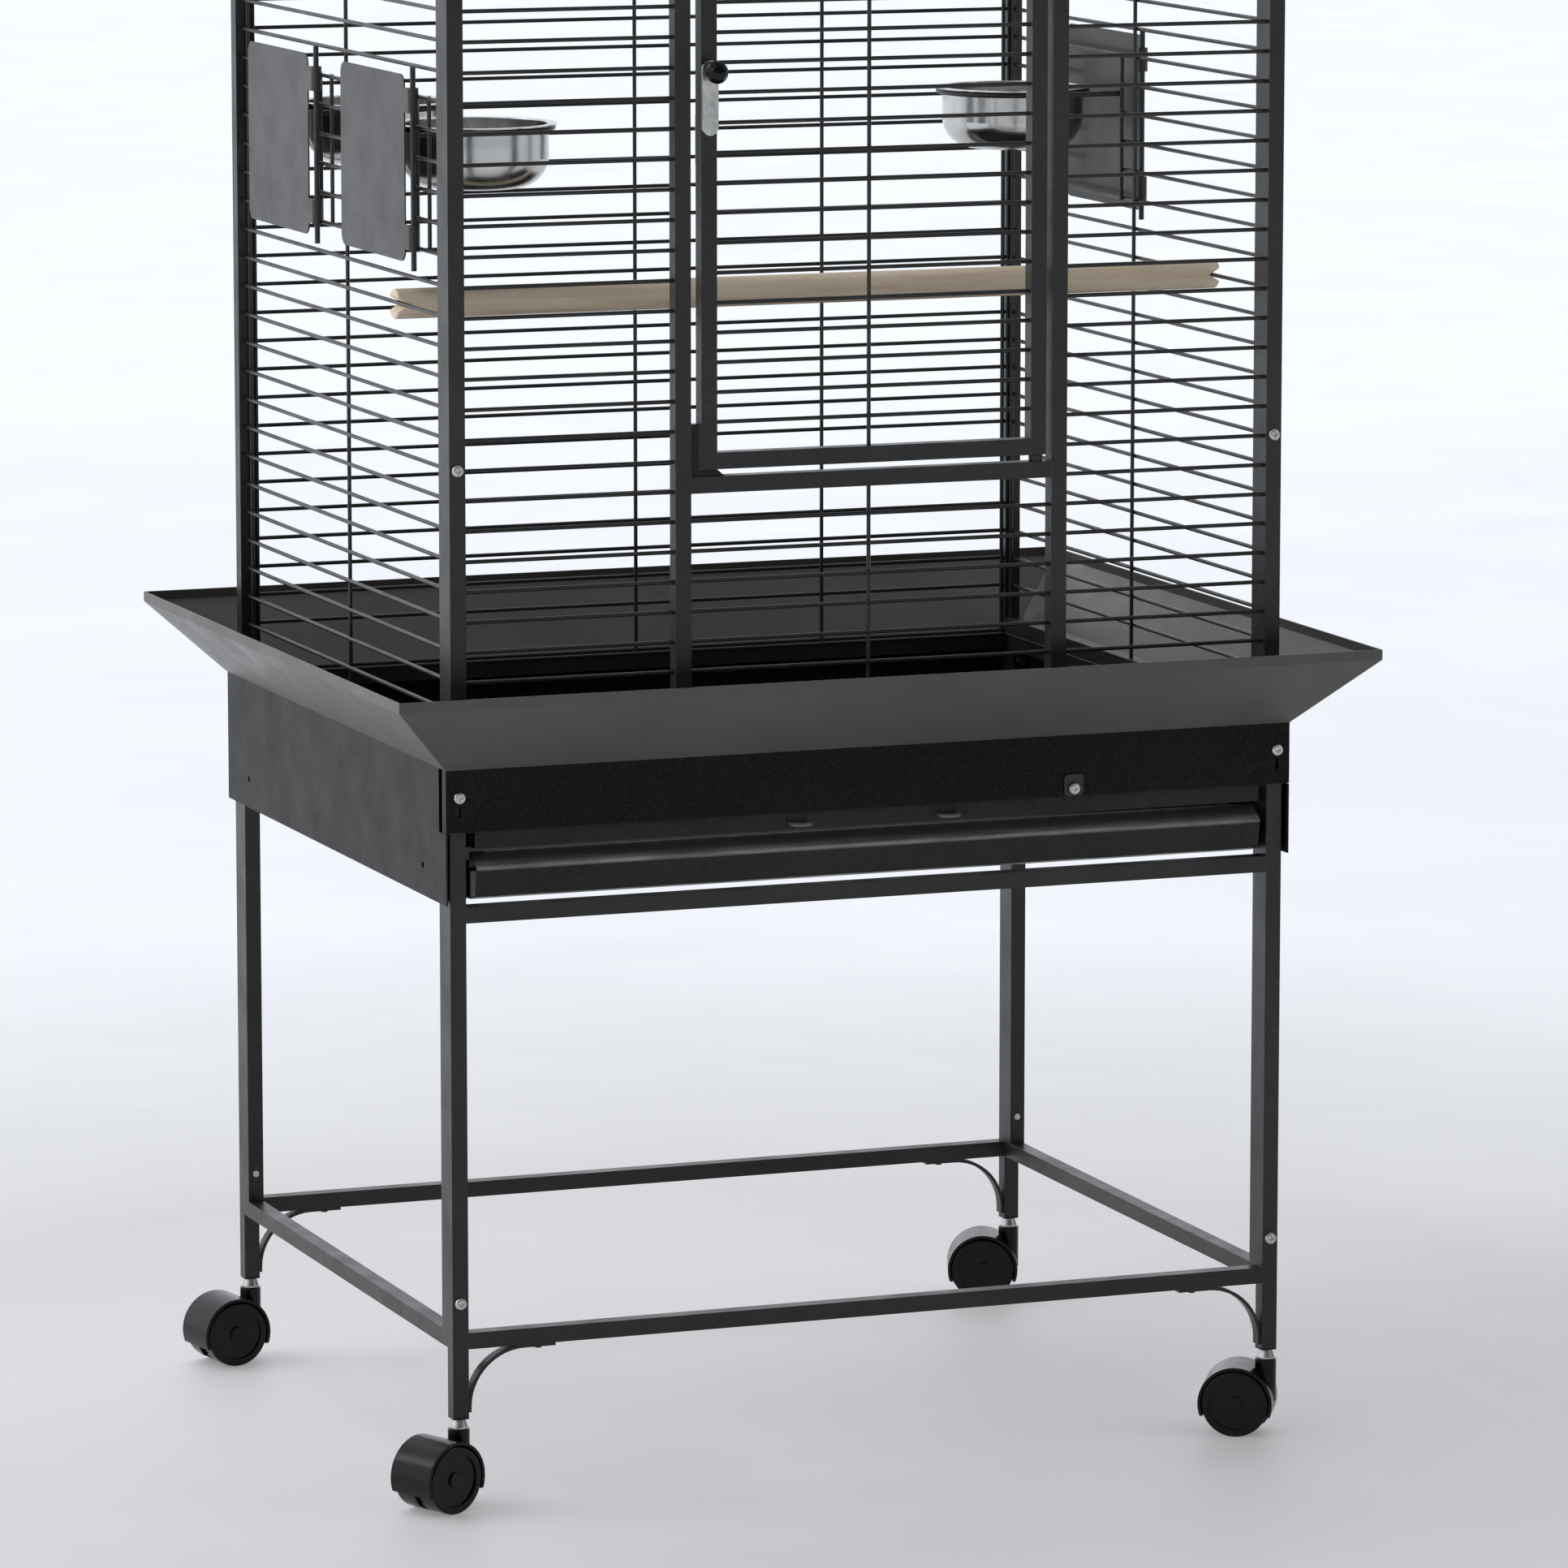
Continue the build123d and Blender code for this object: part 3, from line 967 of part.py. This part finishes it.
stems = []
sockets = []
collar_z = NECK_TOP + STEM_PLAY
socket_z = LEG_BOTTOM - SOCKET_FLANGE
for corner, (sign_x, sign_y) in CORNERS.items():
    leg = (sign_x * LEG_X, sign_y * LEG_Y)
    turned = Location((leg[0], leg[1], 0), (0, 0, CASTER_ANGLES[corner]))
    save(f"caster_hood_{corner}", hood.part.moved(turned))
    save(f"caster_wheels_{corner}", wheel_pair.moved(turned))
    with BuildPart() as stem:
        with BuildSketch(Plane(origin=(leg[0], leg[1], 0), x_dir=(1, 0, 0), z_dir=(0, -1, 0))):
            with BuildLine():
                Polyline((0, STEM_BOTTOM), (STEM_DIA / 2, STEM_BOTTOM), (STEM_DIA / 2, collar_z),
                         (STEM_COLLAR_RADIUS, collar_z), (STEM_COLLAR_RADIUS, collar_z + STEM_COLLAR),
                         (STEM_TAPER_RADIUS, socket_z), (STEM_DIA / 2, socket_z),
                         (STEM_DIA / 2, STEM_TOP), (0, STEM_TOP), close=True)
            make_face()
        revolve(axis=Axis((leg[0], leg[1], 0), (0, 0, 1)))
    stems.append(stem.part)
    with BuildPart() as socket:
        with BuildSketch(Plane.XY.offset(LEG_BOTTOM - SOCKET_FLANGE)):
            with Locations(leg):
                Rectangle(TUBE, TUBE)
        extrude(amount=SOCKET_FLANGE)
        with BuildSketch(Plane.XY.offset(LEG_BOTTOM)):
            with Locations(leg):
                Rectangle(TUBE - 2 * TUBE_WALL, TUBE - 2 * TUBE_WALL)
        extrude(amount=SOCKET_DEPTH)
        with BuildSketch(Plane.XY.offset(LEG_BOTTOM - SOCKET_FLANGE)):
            with Locations(leg):
                Circle((STEM_DIA + PIN_FIT) / 2)
        extrude(amount=SOCKET_DEPTH + SOCKET_FLANGE, mode=Mode.SUBTRACT)
    sockets.append(socket.part)
save("caster_stems", group(*stems))
save("caster_sockets", group(*sockets))
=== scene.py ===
"""Looks for the bird cage on its stand. Everything is in metres, in the CAD model's frame."""

import json
import math

import bmesh
import bpy
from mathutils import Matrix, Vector


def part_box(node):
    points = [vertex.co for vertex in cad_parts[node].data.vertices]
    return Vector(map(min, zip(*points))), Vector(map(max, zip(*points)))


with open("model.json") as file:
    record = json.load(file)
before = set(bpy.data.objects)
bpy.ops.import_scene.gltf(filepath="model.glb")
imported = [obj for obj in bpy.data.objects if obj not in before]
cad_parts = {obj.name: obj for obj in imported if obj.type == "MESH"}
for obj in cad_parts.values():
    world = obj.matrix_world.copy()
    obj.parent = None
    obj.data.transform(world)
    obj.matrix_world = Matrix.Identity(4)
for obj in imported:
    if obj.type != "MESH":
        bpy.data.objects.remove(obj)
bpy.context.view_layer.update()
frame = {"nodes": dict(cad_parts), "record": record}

# ---- camera ------------------------------------------------------------------------------------
SENSOR = 36.0
LENS = 193.78
CLIP_END = 60.0
CAMERA_PLACE = (-2.2143, -5.9060, 1.474)
LOOK_DOWN = 9.017            # degrees below the horizon
LOOK_RIGHT = 20.80           # degrees from +Y towards +X

camera_data = bpy.data.cameras.new("photo_camera")
camera_data.sensor_width = SENSOR
camera_data.lens = LENS
camera_data.clip_end = CLIP_END
camera = bpy.data.objects.new("photo_camera", camera_data)
camera.location = CAMERA_PLACE
camera.rotation_euler = (math.radians(90.0 - LOOK_DOWN), 0.0, math.radians(-LOOK_RIGHT))
bpy.context.scene.collection.objects.link(camera)
bpy.context.scene.camera = camera

# ---- shader tools ------------------------------------------------------------------------------
BEVEL_SAMPLES = 4
MIX_A, MIX_B, MIX_RESULT = 6, 7, 2        # the Mix node's colour sockets


class Shader:
    """A small builder of procedural materials in object coordinates, which are metres here."""

    def __init__(self, name):
        self.material = bpy.data.materials.new(name)
        self.material.use_nodes = True
        self.tree = self.material.node_tree
        self.tree.nodes.clear()
        out = self.tree.nodes.new("ShaderNodeOutputMaterial")
        self.bsdf = self.tree.nodes.new("ShaderNodeBsdfPrincipled")
        self.link(self.bsdf.outputs["BSDF"], out.inputs["Surface"])
        self.coords = self.tree.nodes.new("ShaderNodeTexCoord").outputs["Object"]

    def link(self, source, target):
        self.tree.links.new(source, target)

    def put(self, node, socket, value):
        """Link an output to a socket, or set the socket to a constant."""
        if isinstance(value, bpy.types.NodeSocket):
            self.link(value, node.inputs[socket])
        else:
            node.inputs[socket].default_value = value

    def finish_with(self, **sockets):
        """Put values on the shader's own sockets: base_color="..." goes to Base Color."""
        for socket, value in sockets.items():
            self.put(self.bsdf, socket.replace("_", " ").title().replace("Ior", "IOR"), value)

    def scaled(self, scale):
        node = self.tree.nodes.new("ShaderNodeMapping")
        self.link(self.coords, node.inputs["Vector"])
        node.inputs["Scale"].default_value = scale
        return node.outputs["Vector"]

    def noise(self, scale, detail, rough, vector=None):
        node = self.tree.nodes.new("ShaderNodeTexNoise")
        self.link(vector or self.coords, node.inputs["Vector"])
        node.inputs["Scale"].default_value = scale
        node.inputs["Detail"].default_value = detail
        node.inputs["Roughness"].default_value = rough
        return node.outputs["Fac"]

    def cells(self, scale):
        node = self.tree.nodes.new("ShaderNodeTexVoronoi")
        node.feature = "SMOOTH_F1"
        self.link(self.coords, node.inputs["Vector"])
        node.inputs["Scale"].default_value = scale
        return node.outputs["Distance"]

    def span(self, value, low, high, to_low=0.0, to_high=1.0):
        """Map low..high to to_low..to_high, clamped at both ends."""
        node = self.tree.nodes.new("ShaderNodeMapRange")
        self.put(node, "Value", value)
        node.inputs["From Min"].default_value = low
        node.inputs["From Max"].default_value = high
        node.inputs["To Min"].default_value = to_low
        node.inputs["To Max"].default_value = to_high
        return node.outputs["Result"]

    def math(self, operation, a, b):
        node = self.tree.nodes.new("ShaderNodeMath")
        node.operation = operation
        self.put(node, 0, a)
        self.put(node, 1, b)
        return node.outputs["Value"]

    def times(self, a, b):
        return self.math("MULTIPLY", a, b)

    def mix(self, factor, a, b):
        node = self.tree.nodes.new("ShaderNodeMix")
        node.data_type = "RGBA"
        self.put(node, 0, factor)
        self.put(node, MIX_A, a)
        self.put(node, MIX_B, b)
        return node.outputs[MIX_RESULT]

    def ramp(self, value, *stops):
        node = self.tree.nodes.new("ShaderNodeValToRGB")
        self.link(value, node.inputs["Fac"])
        set_stops(node.color_ramp, stops)
        return node.outputs["Color"]

    def axis(self, name):
        node = self.tree.nodes.new("ShaderNodeSeparateXYZ")
        self.link(self.coords, node.inputs["Vector"])
        return node.outputs[name]

    def rounded_normal(self, radius):
        node = self.tree.nodes.new("ShaderNodeBevel")
        node.samples = BEVEL_SAMPLES
        node.inputs["Radius"].default_value = radius
        return node.outputs["Normal"]

    def edges(self, reach):
        """1 on an edge, falling to 0 at about the reach, for worn corners and hems that also carry
        a painted highlight.
        """
        likeness = self.tree.nodes.new("ShaderNodeVectorMath")
        likeness.operation = "DOT_PRODUCT"
        flat = self.tree.nodes.new("ShaderNodeNewGeometry")
        self.link(self.rounded_normal(reach), likeness.inputs[0])
        self.link(flat.outputs["Normal"], likeness.inputs[1])
        return self.span(likeness.outputs["Value"], 0.98, 0.70)

    def bump(self, heights, bevel):
        """heights is a list of (height, strength, distance); the bevel softens edges."""
        normal = self.rounded_normal(bevel) if bevel else None
        for height, strength, distance in heights:
            node = self.tree.nodes.new("ShaderNodeBump")
            node.inputs["Strength"].default_value = strength
            node.inputs["Distance"].default_value = distance
            self.link(height, node.inputs["Height"])
            if normal is not None:
                self.link(normal, node.inputs["Normal"])
            normal = node.outputs["Normal"]
        self.link(normal, self.bsdf.inputs["Normal"])


def set_stops(ramp, stops):
    while len(ramp.elements) < len(stops):
        ramp.elements.new(0.5)
    for element, (place, colour) in zip(ramp.elements, stops):
        element.position = place
        element.color = colour


def grey(value, warmth=0.0):
    return (value * (1 + warmth), value, value * (1 - warmth), 1.0)


# ---- materials ---------------------------------------------------------------------------------
# texture scales are in cells for each metre
CLOUD_SCALE = 9.0
DIMPLE_SCALE = 520.0
PEEL_SCALE = 1900.0
DUST_SCALE = 38.0
GLOSS_SCALE = 30.0
WEAR_SCALE = 75.0
EDGE_REACH = 0.0008
RUB_GLOSS = 0.12             # how much smoother a rubbed edge is
DIMPLE_DEPTH = 0.00012
PEEL_DEPTH = 0.00003
DUST = grey(0.07, 0.05)
# lighter edge colour: worn coat and a painted highlight in one
WORN_AND_HIGHLIT_EDGE = grey(0.20, 0.03)


def powder_coat(name, low, high, rough, specular=0.42, bevel=EDGE_REACH, worn_and_highlit_edges=0.45):
    """Charcoal hammertone: 2 mm dimples, finer orange peel, cloudy tone, dust, and edges painted
    lighter, partly as worn coat and partly as a painted highlight.
    """
    s = Shader(name)
    dimples = s.cells(DIMPLE_SCALE)
    peel = s.noise(PEEL_SCALE, 2.0, 0.5)
    tone = s.ramp(s.noise(CLOUD_SCALE, 4.0, 0.6), (0.30, low), (0.72, high))
    fleck = s.times(s.span(dimples, 0.25, 0.75), 0.30)
    colour = s.mix(fleck, tone, s.mix(0.5, tone, grey(0.07, 0.03)))
    dust = s.span(s.noise(DUST_SCALE, 5.0, 0.7), 0.58, 0.82, 0.0, 0.16)
    colour = s.mix(dust, colour, DUST)
    roughness = s.span(s.noise(GLOSS_SCALE, 3.0, 0.6), 0.3, 0.7, *rough)
    if bevel:
        patchy = s.span(s.noise(WEAR_SCALE, 4.0, 0.7), 0.35, 0.70, 0.15, 1.0)
        wear_and_highlight = s.times(s.times(s.edges(bevel), patchy), worn_and_highlit_edges)
        # edges painted lighter: partly worn coat, partly a painted highlight on the hems
        colour = s.mix(wear_and_highlight, colour, WORN_AND_HIGHLIT_EDGE)
        roughness = s.math("SUBTRACT", roughness, s.times(wear_and_highlight, RUB_GLOSS))
    s.finish_with(base_color=colour, roughness=roughness, specular_ior_level=specular)
    s.bump([(dimples, 0.35, DIMPLE_DEPTH), (peel, 0.12, PEEL_DEPTH)], bevel)
    return s


def zinc_plate(name):
    """Bright plating, brushed along Z, in light and dull patches."""
    s = Shader(name)
    brushed = s.noise(900.0, 3.0, 0.6, s.scaled((1, 1, 0.12)))
    colour = s.ramp(s.noise(140.0, 3.0, 0.6),
                    (0.3, (0.46, 0.46, 0.45, 1)), (0.7, (0.68, 0.67, 0.63, 1)))
    s.finish_with(base_color=colour, metallic=1.0, roughness=s.span(brushed, 0.3, 0.7, 0.22, 0.42))
    s.bump([(brushed, 0.15, 0.00003)], 0.0004)
    return s


def spun_steel(name):
    """Polished steel with fine rings around Z and handling smears."""
    s = Shader(name)
    rings = s.noise(2600.0, 2.0, 0.5, s.scaled((0.05, 0.05, 1)))
    smear = s.noise(26.0, 4.0, 0.65)
    colour = s.ramp(smear, (0.3, (0.56, 0.56, 0.55, 1)), (0.7, (0.74, 0.74, 0.72, 1)))
    s.finish_with(base_color=colour, metallic=1.0, roughness=s.span(smear, 0.3, 0.7, 0.14, 0.30))
    s.bump([(rings, 0.10, 0.00003)], 0.0004)
    return s


def turned_wood(name):
    """Pale hardwood with grain along X, darker pores and patches greyed by handling."""
    s = Shader(name)
    grain = s.noise(3.0, 5.0, 0.65, s.scaled((3.0, 60.0, 60.0)))
    pores = s.noise(22.0, 2.0, 0.6, s.scaled((5.0, 110.0, 110.0)))
    colour = s.ramp(grain, (0.25, (0.60, 0.45, 0.31, 1)), (0.5, (0.76, 0.62, 0.46, 1)),
                    (0.75, (0.86, 0.74, 0.58, 1)))
    colour = s.mix(s.span(pores, 0.62, 0.74, 0.0, 0.45), colour, (0.30, 0.21, 0.14, 1))
    handled = s.span(s.noise(14.0, 3.0, 0.6), 0.45, 0.75, 0.0, 0.25)
    colour = s.mix(handled, colour, (0.52, 0.44, 0.36, 1))
    s.finish_with(base_color=colour, roughness=s.span(grain, 0.3, 0.7, 0.50, 0.68))
    s.bump([(grain, 0.25, 0.0002), (pores, 0.25, 0.0001)], 0.0008)
    return s


def moulded_nylon(name, rough):
    """Glossy black plastic with a fine moulded skin, scuffs and a little dust."""
    s = Shader(name)
    fine = s.noise(1300.0, 2.0, 0.5)
    scuff = s.noise(70.0, 5.0, 0.7)
    colour = s.ramp(scuff, (0.35, grey(0.002)), (0.75, grey(0.005)))
    dust = s.span(s.noise(24.0, 4.0, 0.7), 0.70, 0.90, 0.0, 0.06)
    s.finish_with(base_color=s.mix(dust, colour, grey(0.05, 0.03)),
                  roughness=s.span(scuff, 0.3, 0.75, *rough), specular_ior_level=0.25)
    s.bump([(fine, 0.08, 0.00003), (scuff, 0.05, 0.0002)], 0.0006)
    return s


# the slope and shoulder of the tray's front, from the tray's foremost and topmost points; the
# slope gets a painted highlight and the shoulder a streaky painted reflection
NOSE_DEPTH = 0.017
NOSE_END = 0.020
SHOULDER_LOW = 0.0122
SHOULDER_HIGH = 0.0102
REFLECTION_BAND_LOW = 0.0090
REFLECTION_BAND_HIGH = 0.0050


def tray_coat(name):
    """A powder coat with a painted highlight in lighter grey on the tray's front slope and a
    streaky painted reflection on its shoulder.
    """
    s = powder_coat(name, grey(0.007, 0.10), grey(0.014, 0.10), (0.28, 0.40), 0.25, worn_and_highlit_edges=0.6)
    (_, front, _), (_, _, top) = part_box("tray")
    height = s.axis("Z")
    slope = s.times(s.span(s.axis("Y"), front + NOSE_END, front + NOSE_DEPTH),
                    s.span(height, top - SHOULDER_LOW, top - SHOULDER_HIGH))
    shoulder = s.times(slope, s.span(height, top - REFLECTION_BAND_HIGH, top - REFLECTION_BAND_LOW))
    reflection_streaks = s.span(s.noise(5.0, 4.0, 0.6, s.scaled((3.0, 30.0, 30.0))), 0.35, 0.65, 0.25, 1.0)
    coat = s.bsdf.inputs["Base Color"].links[0].from_socket
    # painted highlight: the upward slope of the front is painted lighter grey
    colour = s.mix(s.times(slope, 0.8), coat, grey(0.060))
    # painted reflection: bright streaks painted along the shoulder
    s.finish_with(base_color=s.mix(s.times(shoulder, reflection_streaks), colour, grey(0.34)))
    return s


looks = {
    "frame_coat": powder_coat("frame_coat", grey(0.011, 0.10), grey(0.020, 0.10), (0.30, 0.44)),
    "sheet_coat": powder_coat("sheet_coat", grey(0.020, 0.06), grey(0.034, 0.06), (0.30, 0.42)),
    "wire_coat": powder_coat("wire_coat", grey(0.014, 0.06), grey(0.024, 0.06), (0.28, 0.42),
                             bevel=0.0),
    "grate_coat": powder_coat("grate_coat", grey(0.007, 0.10), grey(0.014, 0.10), (0.30, 0.45),
                              0.25),
    "tray_coat": tray_coat("tray_coat"),
    "zinc": zinc_plate("zinc"),
    "cup_steel": spun_steel("cup_steel"),
    "perch_wood": turned_wood("perch_wood"),
    "black_plastic": moulded_nylon("black_plastic", (0.16, 0.30)),
    "wheel_plastic": moulded_nylon("wheel_plastic", (0.10, 0.22)),
    "stem_steel": zinc_plate("stem_steel"),
}
# nodes painted lighter or darker than the rest of their slot, by how their names end: painted
# light on the seed guards, painted shade on the skirts and aprons, a painted highlight on the
# grate pulls
painted_light_looks = (
    # painted light: the seed guards get a much lighter copy of the charcoal coat, standing in for
    # light bounced up from the floor
    ("seed_guard", powder_coat("guard_coat_painted_light", grey(0.074, 0.08), grey(0.096, 0.08), (0.30, 0.40))),
    # painted shade: the skirts and aprons get a near-black copy of the charcoal coat, standing in
    # for shade under the seed guards' overhang
    (("skirt", "apron"), powder_coat("skirt_coat_painted_shade", grey(0.003, 0.15), grey(0.007, 0.15),
                                     (0.32, 0.42), 0.10, worn_and_highlit_edges=0.7)),
    # painted highlight: the grate pulls get a bright grey coat, standing in for glints on the bent
    # wire
    ("grate_pulls", powder_coat("pull_coat_painted_highlight", grey(0.10, 0.02), grey(0.16, 0.02), (0.26, 0.38),
                                bevel=0.0)),
)
slot_of = {entry["node"]: entry["material_slot"] for entry in frame["record"]["subparts"]}
for name, node in frame["nodes"].items():
    if node.type != "MESH":
        continue
    look = looks[slot_of[name]]
    for ending, special in painted_light_looks:
        if name.endswith(ending):
            look = special
    node.data.materials.clear()
    node.data.materials.append(look.material)

# ---- floor -------------------------------------------------------------------------------------
FLOOR_HALF = 40.0
FLOOR_CELLS = 8
FLOOR_FADE = 8.0             # the floor's own glow settles at this distance from the stand

floor_mesh = bpy.data.meshes.new("floor")
floor_bm = bmesh.new()
bmesh.ops.create_grid(floor_bm, x_segments=FLOOR_CELLS, y_segments=FLOOR_CELLS, size=FLOOR_HALF)
floor_bm.to_mesh(floor_mesh)
floor_bm.free()
floor = bpy.data.objects.new("floor", floor_mesh)
bpy.context.scene.collection.objects.link(floor)


def floor_look():
    """Pale floor with a faint cloudy tone and a painted glow that lights it up all round like a
    studio sweep.
    """
    s = Shader("floor")
    colour = s.ramp(s.noise(1.3, 4.0, 0.6),
                    (0.35, (0.54, 0.54, 0.55, 1)), (0.65, (0.60, 0.60, 0.61, 1)))
    distance = s.tree.nodes.new("ShaderNodeVectorMath")
    distance.operation = "LENGTH"
    s.link(s.coords, distance.inputs[0])
    # painted light: the floor glows by its distance from the stand, brighter right under it,
    # dimmest about 0.8 m out, brightest far off
    glow = s.ramp(s.span(distance.outputs["Value"], 0.0, FLOOR_FADE),
                  (0.02, grey(0.24)), (0.10, grey(0.16)),
                  (0.26, (0.38, 0.40, 0.43, 1)), (0.9, (0.54, 0.57, 0.60, 1)))
    s.finish_with(base_color=colour, emission_color=glow, emission_strength=1.0,
                  roughness=s.span(s.noise(5.0, 4.0, 0.6), 0.3, 0.7, 0.50, 0.62))
    return s


floor.data.materials.append(floor_look().material)

# ---- studio: a white wall to the left and behind, a dim room in front, a soft ceiling -----------
WALL_WAY = (-0.42, 0.50, 0.0)
WALL_MIDDLE = 0.5
CEILING = (0.50, 0.51, 0.53, 1)
BACKDROP = (0.87, 0.90, 0.96, 1)

world = bpy.data.worlds.new("studio")
world.use_nodes = True
bpy.context.scene.world = world
sky = world.node_tree
sky.nodes.clear()


def sky_node(kind, *sources):
    """A new node with its first sockets linked to the sources."""
    node = sky.nodes.new(kind)
    for socket, source in enumerate(sources):
        sky.links.new(source, node.inputs[socket])
    return node


def sky_ramp(value, *stops):
    node = sky_node("ShaderNodeValToRGB", value)
    node.color_ramp.interpolation = "EASE"
    set_stops(node.color_ramp, [(place, (glow * 0.95, glow * 0.98, glow * 1.04, 1))
                                for place, glow in stops])
    return node.outputs["Color"]


way = sky_node("ShaderNodeTexCoord").outputs["Generated"]
towards_wall = sky_node("ShaderNodeVectorMath", way)
towards_wall.operation = "DOT_PRODUCT"
towards_wall.inputs[1].default_value = WALL_WAY
wall_place = sky_node("ShaderNodeMath", towards_wall.outputs["Value"])
wall_place.operation = "ADD"
wall_place.inputs[1].default_value = WALL_MIDDLE
wall = sky_ramp(wall_place.outputs["Value"], (0.25, 0.10), (0.75, 1.10))
upward = sky_node("ShaderNodeSeparateXYZ", way).outputs["Z"]
room = sky.nodes.new("ShaderNodeMix")
room.data_type = "RGBA"
sky.links.new(sky_ramp(upward, (0.45, 0.0), (0.95, 1.0)), room.inputs[0])
sky.links.new(wall, room.inputs[MIX_A])
room.inputs[MIX_B].default_value = CEILING
room_light = sky_node("ShaderNodeBackground", room.outputs[MIX_RESULT])
backdrop = sky_node("ShaderNodeBackground")
backdrop.inputs["Color"].default_value = BACKDROP
seen = sky_node("ShaderNodeLightPath").outputs["Is Camera Ray"]
studio = sky_node("ShaderNodeMixShader", seen, room_light.outputs[0], backdrop.outputs[0])
sky_node("ShaderNodeOutputWorld", studio.outputs["Shader"])

# name, place, target, size, power in watts, colour
SOFTBOXES = (
    ("left_box", (-3.8, 0.9, 3.4), (0, 0, 0.7), (2.6, 2.6), 50, (0.97, 0.98, 1.0)),
    ("top_box", (-0.8, 1.6, 4.6), (0, 0.4, 0.4), (3.6, 3.0), 48, (1.0, 1.0, 1.0)),
    ("right_box", (3.6, -2.2, 2.4), (0, 0, 0.8), (1.6, 2.2), 16, (1.0, 0.98, 0.95)),
)
for name, place, target, size, power, colour in SOFTBOXES:
    data = bpy.data.lights.new(name, "AREA")
    data.shape = "RECTANGLE"
    data.size, data.size_y = size
    data.energy = power
    data.color = colour
    light = bpy.data.objects.new(name, data)
    light.location = place
    aim = Vector(target) - Vector(place)
    light.rotation_euler = aim.to_track_quat("-Z", "Y").to_euler()
    bpy.context.scene.collection.objects.link(light)
bpy.context.scene.view_settings.view_transform = "Standard"
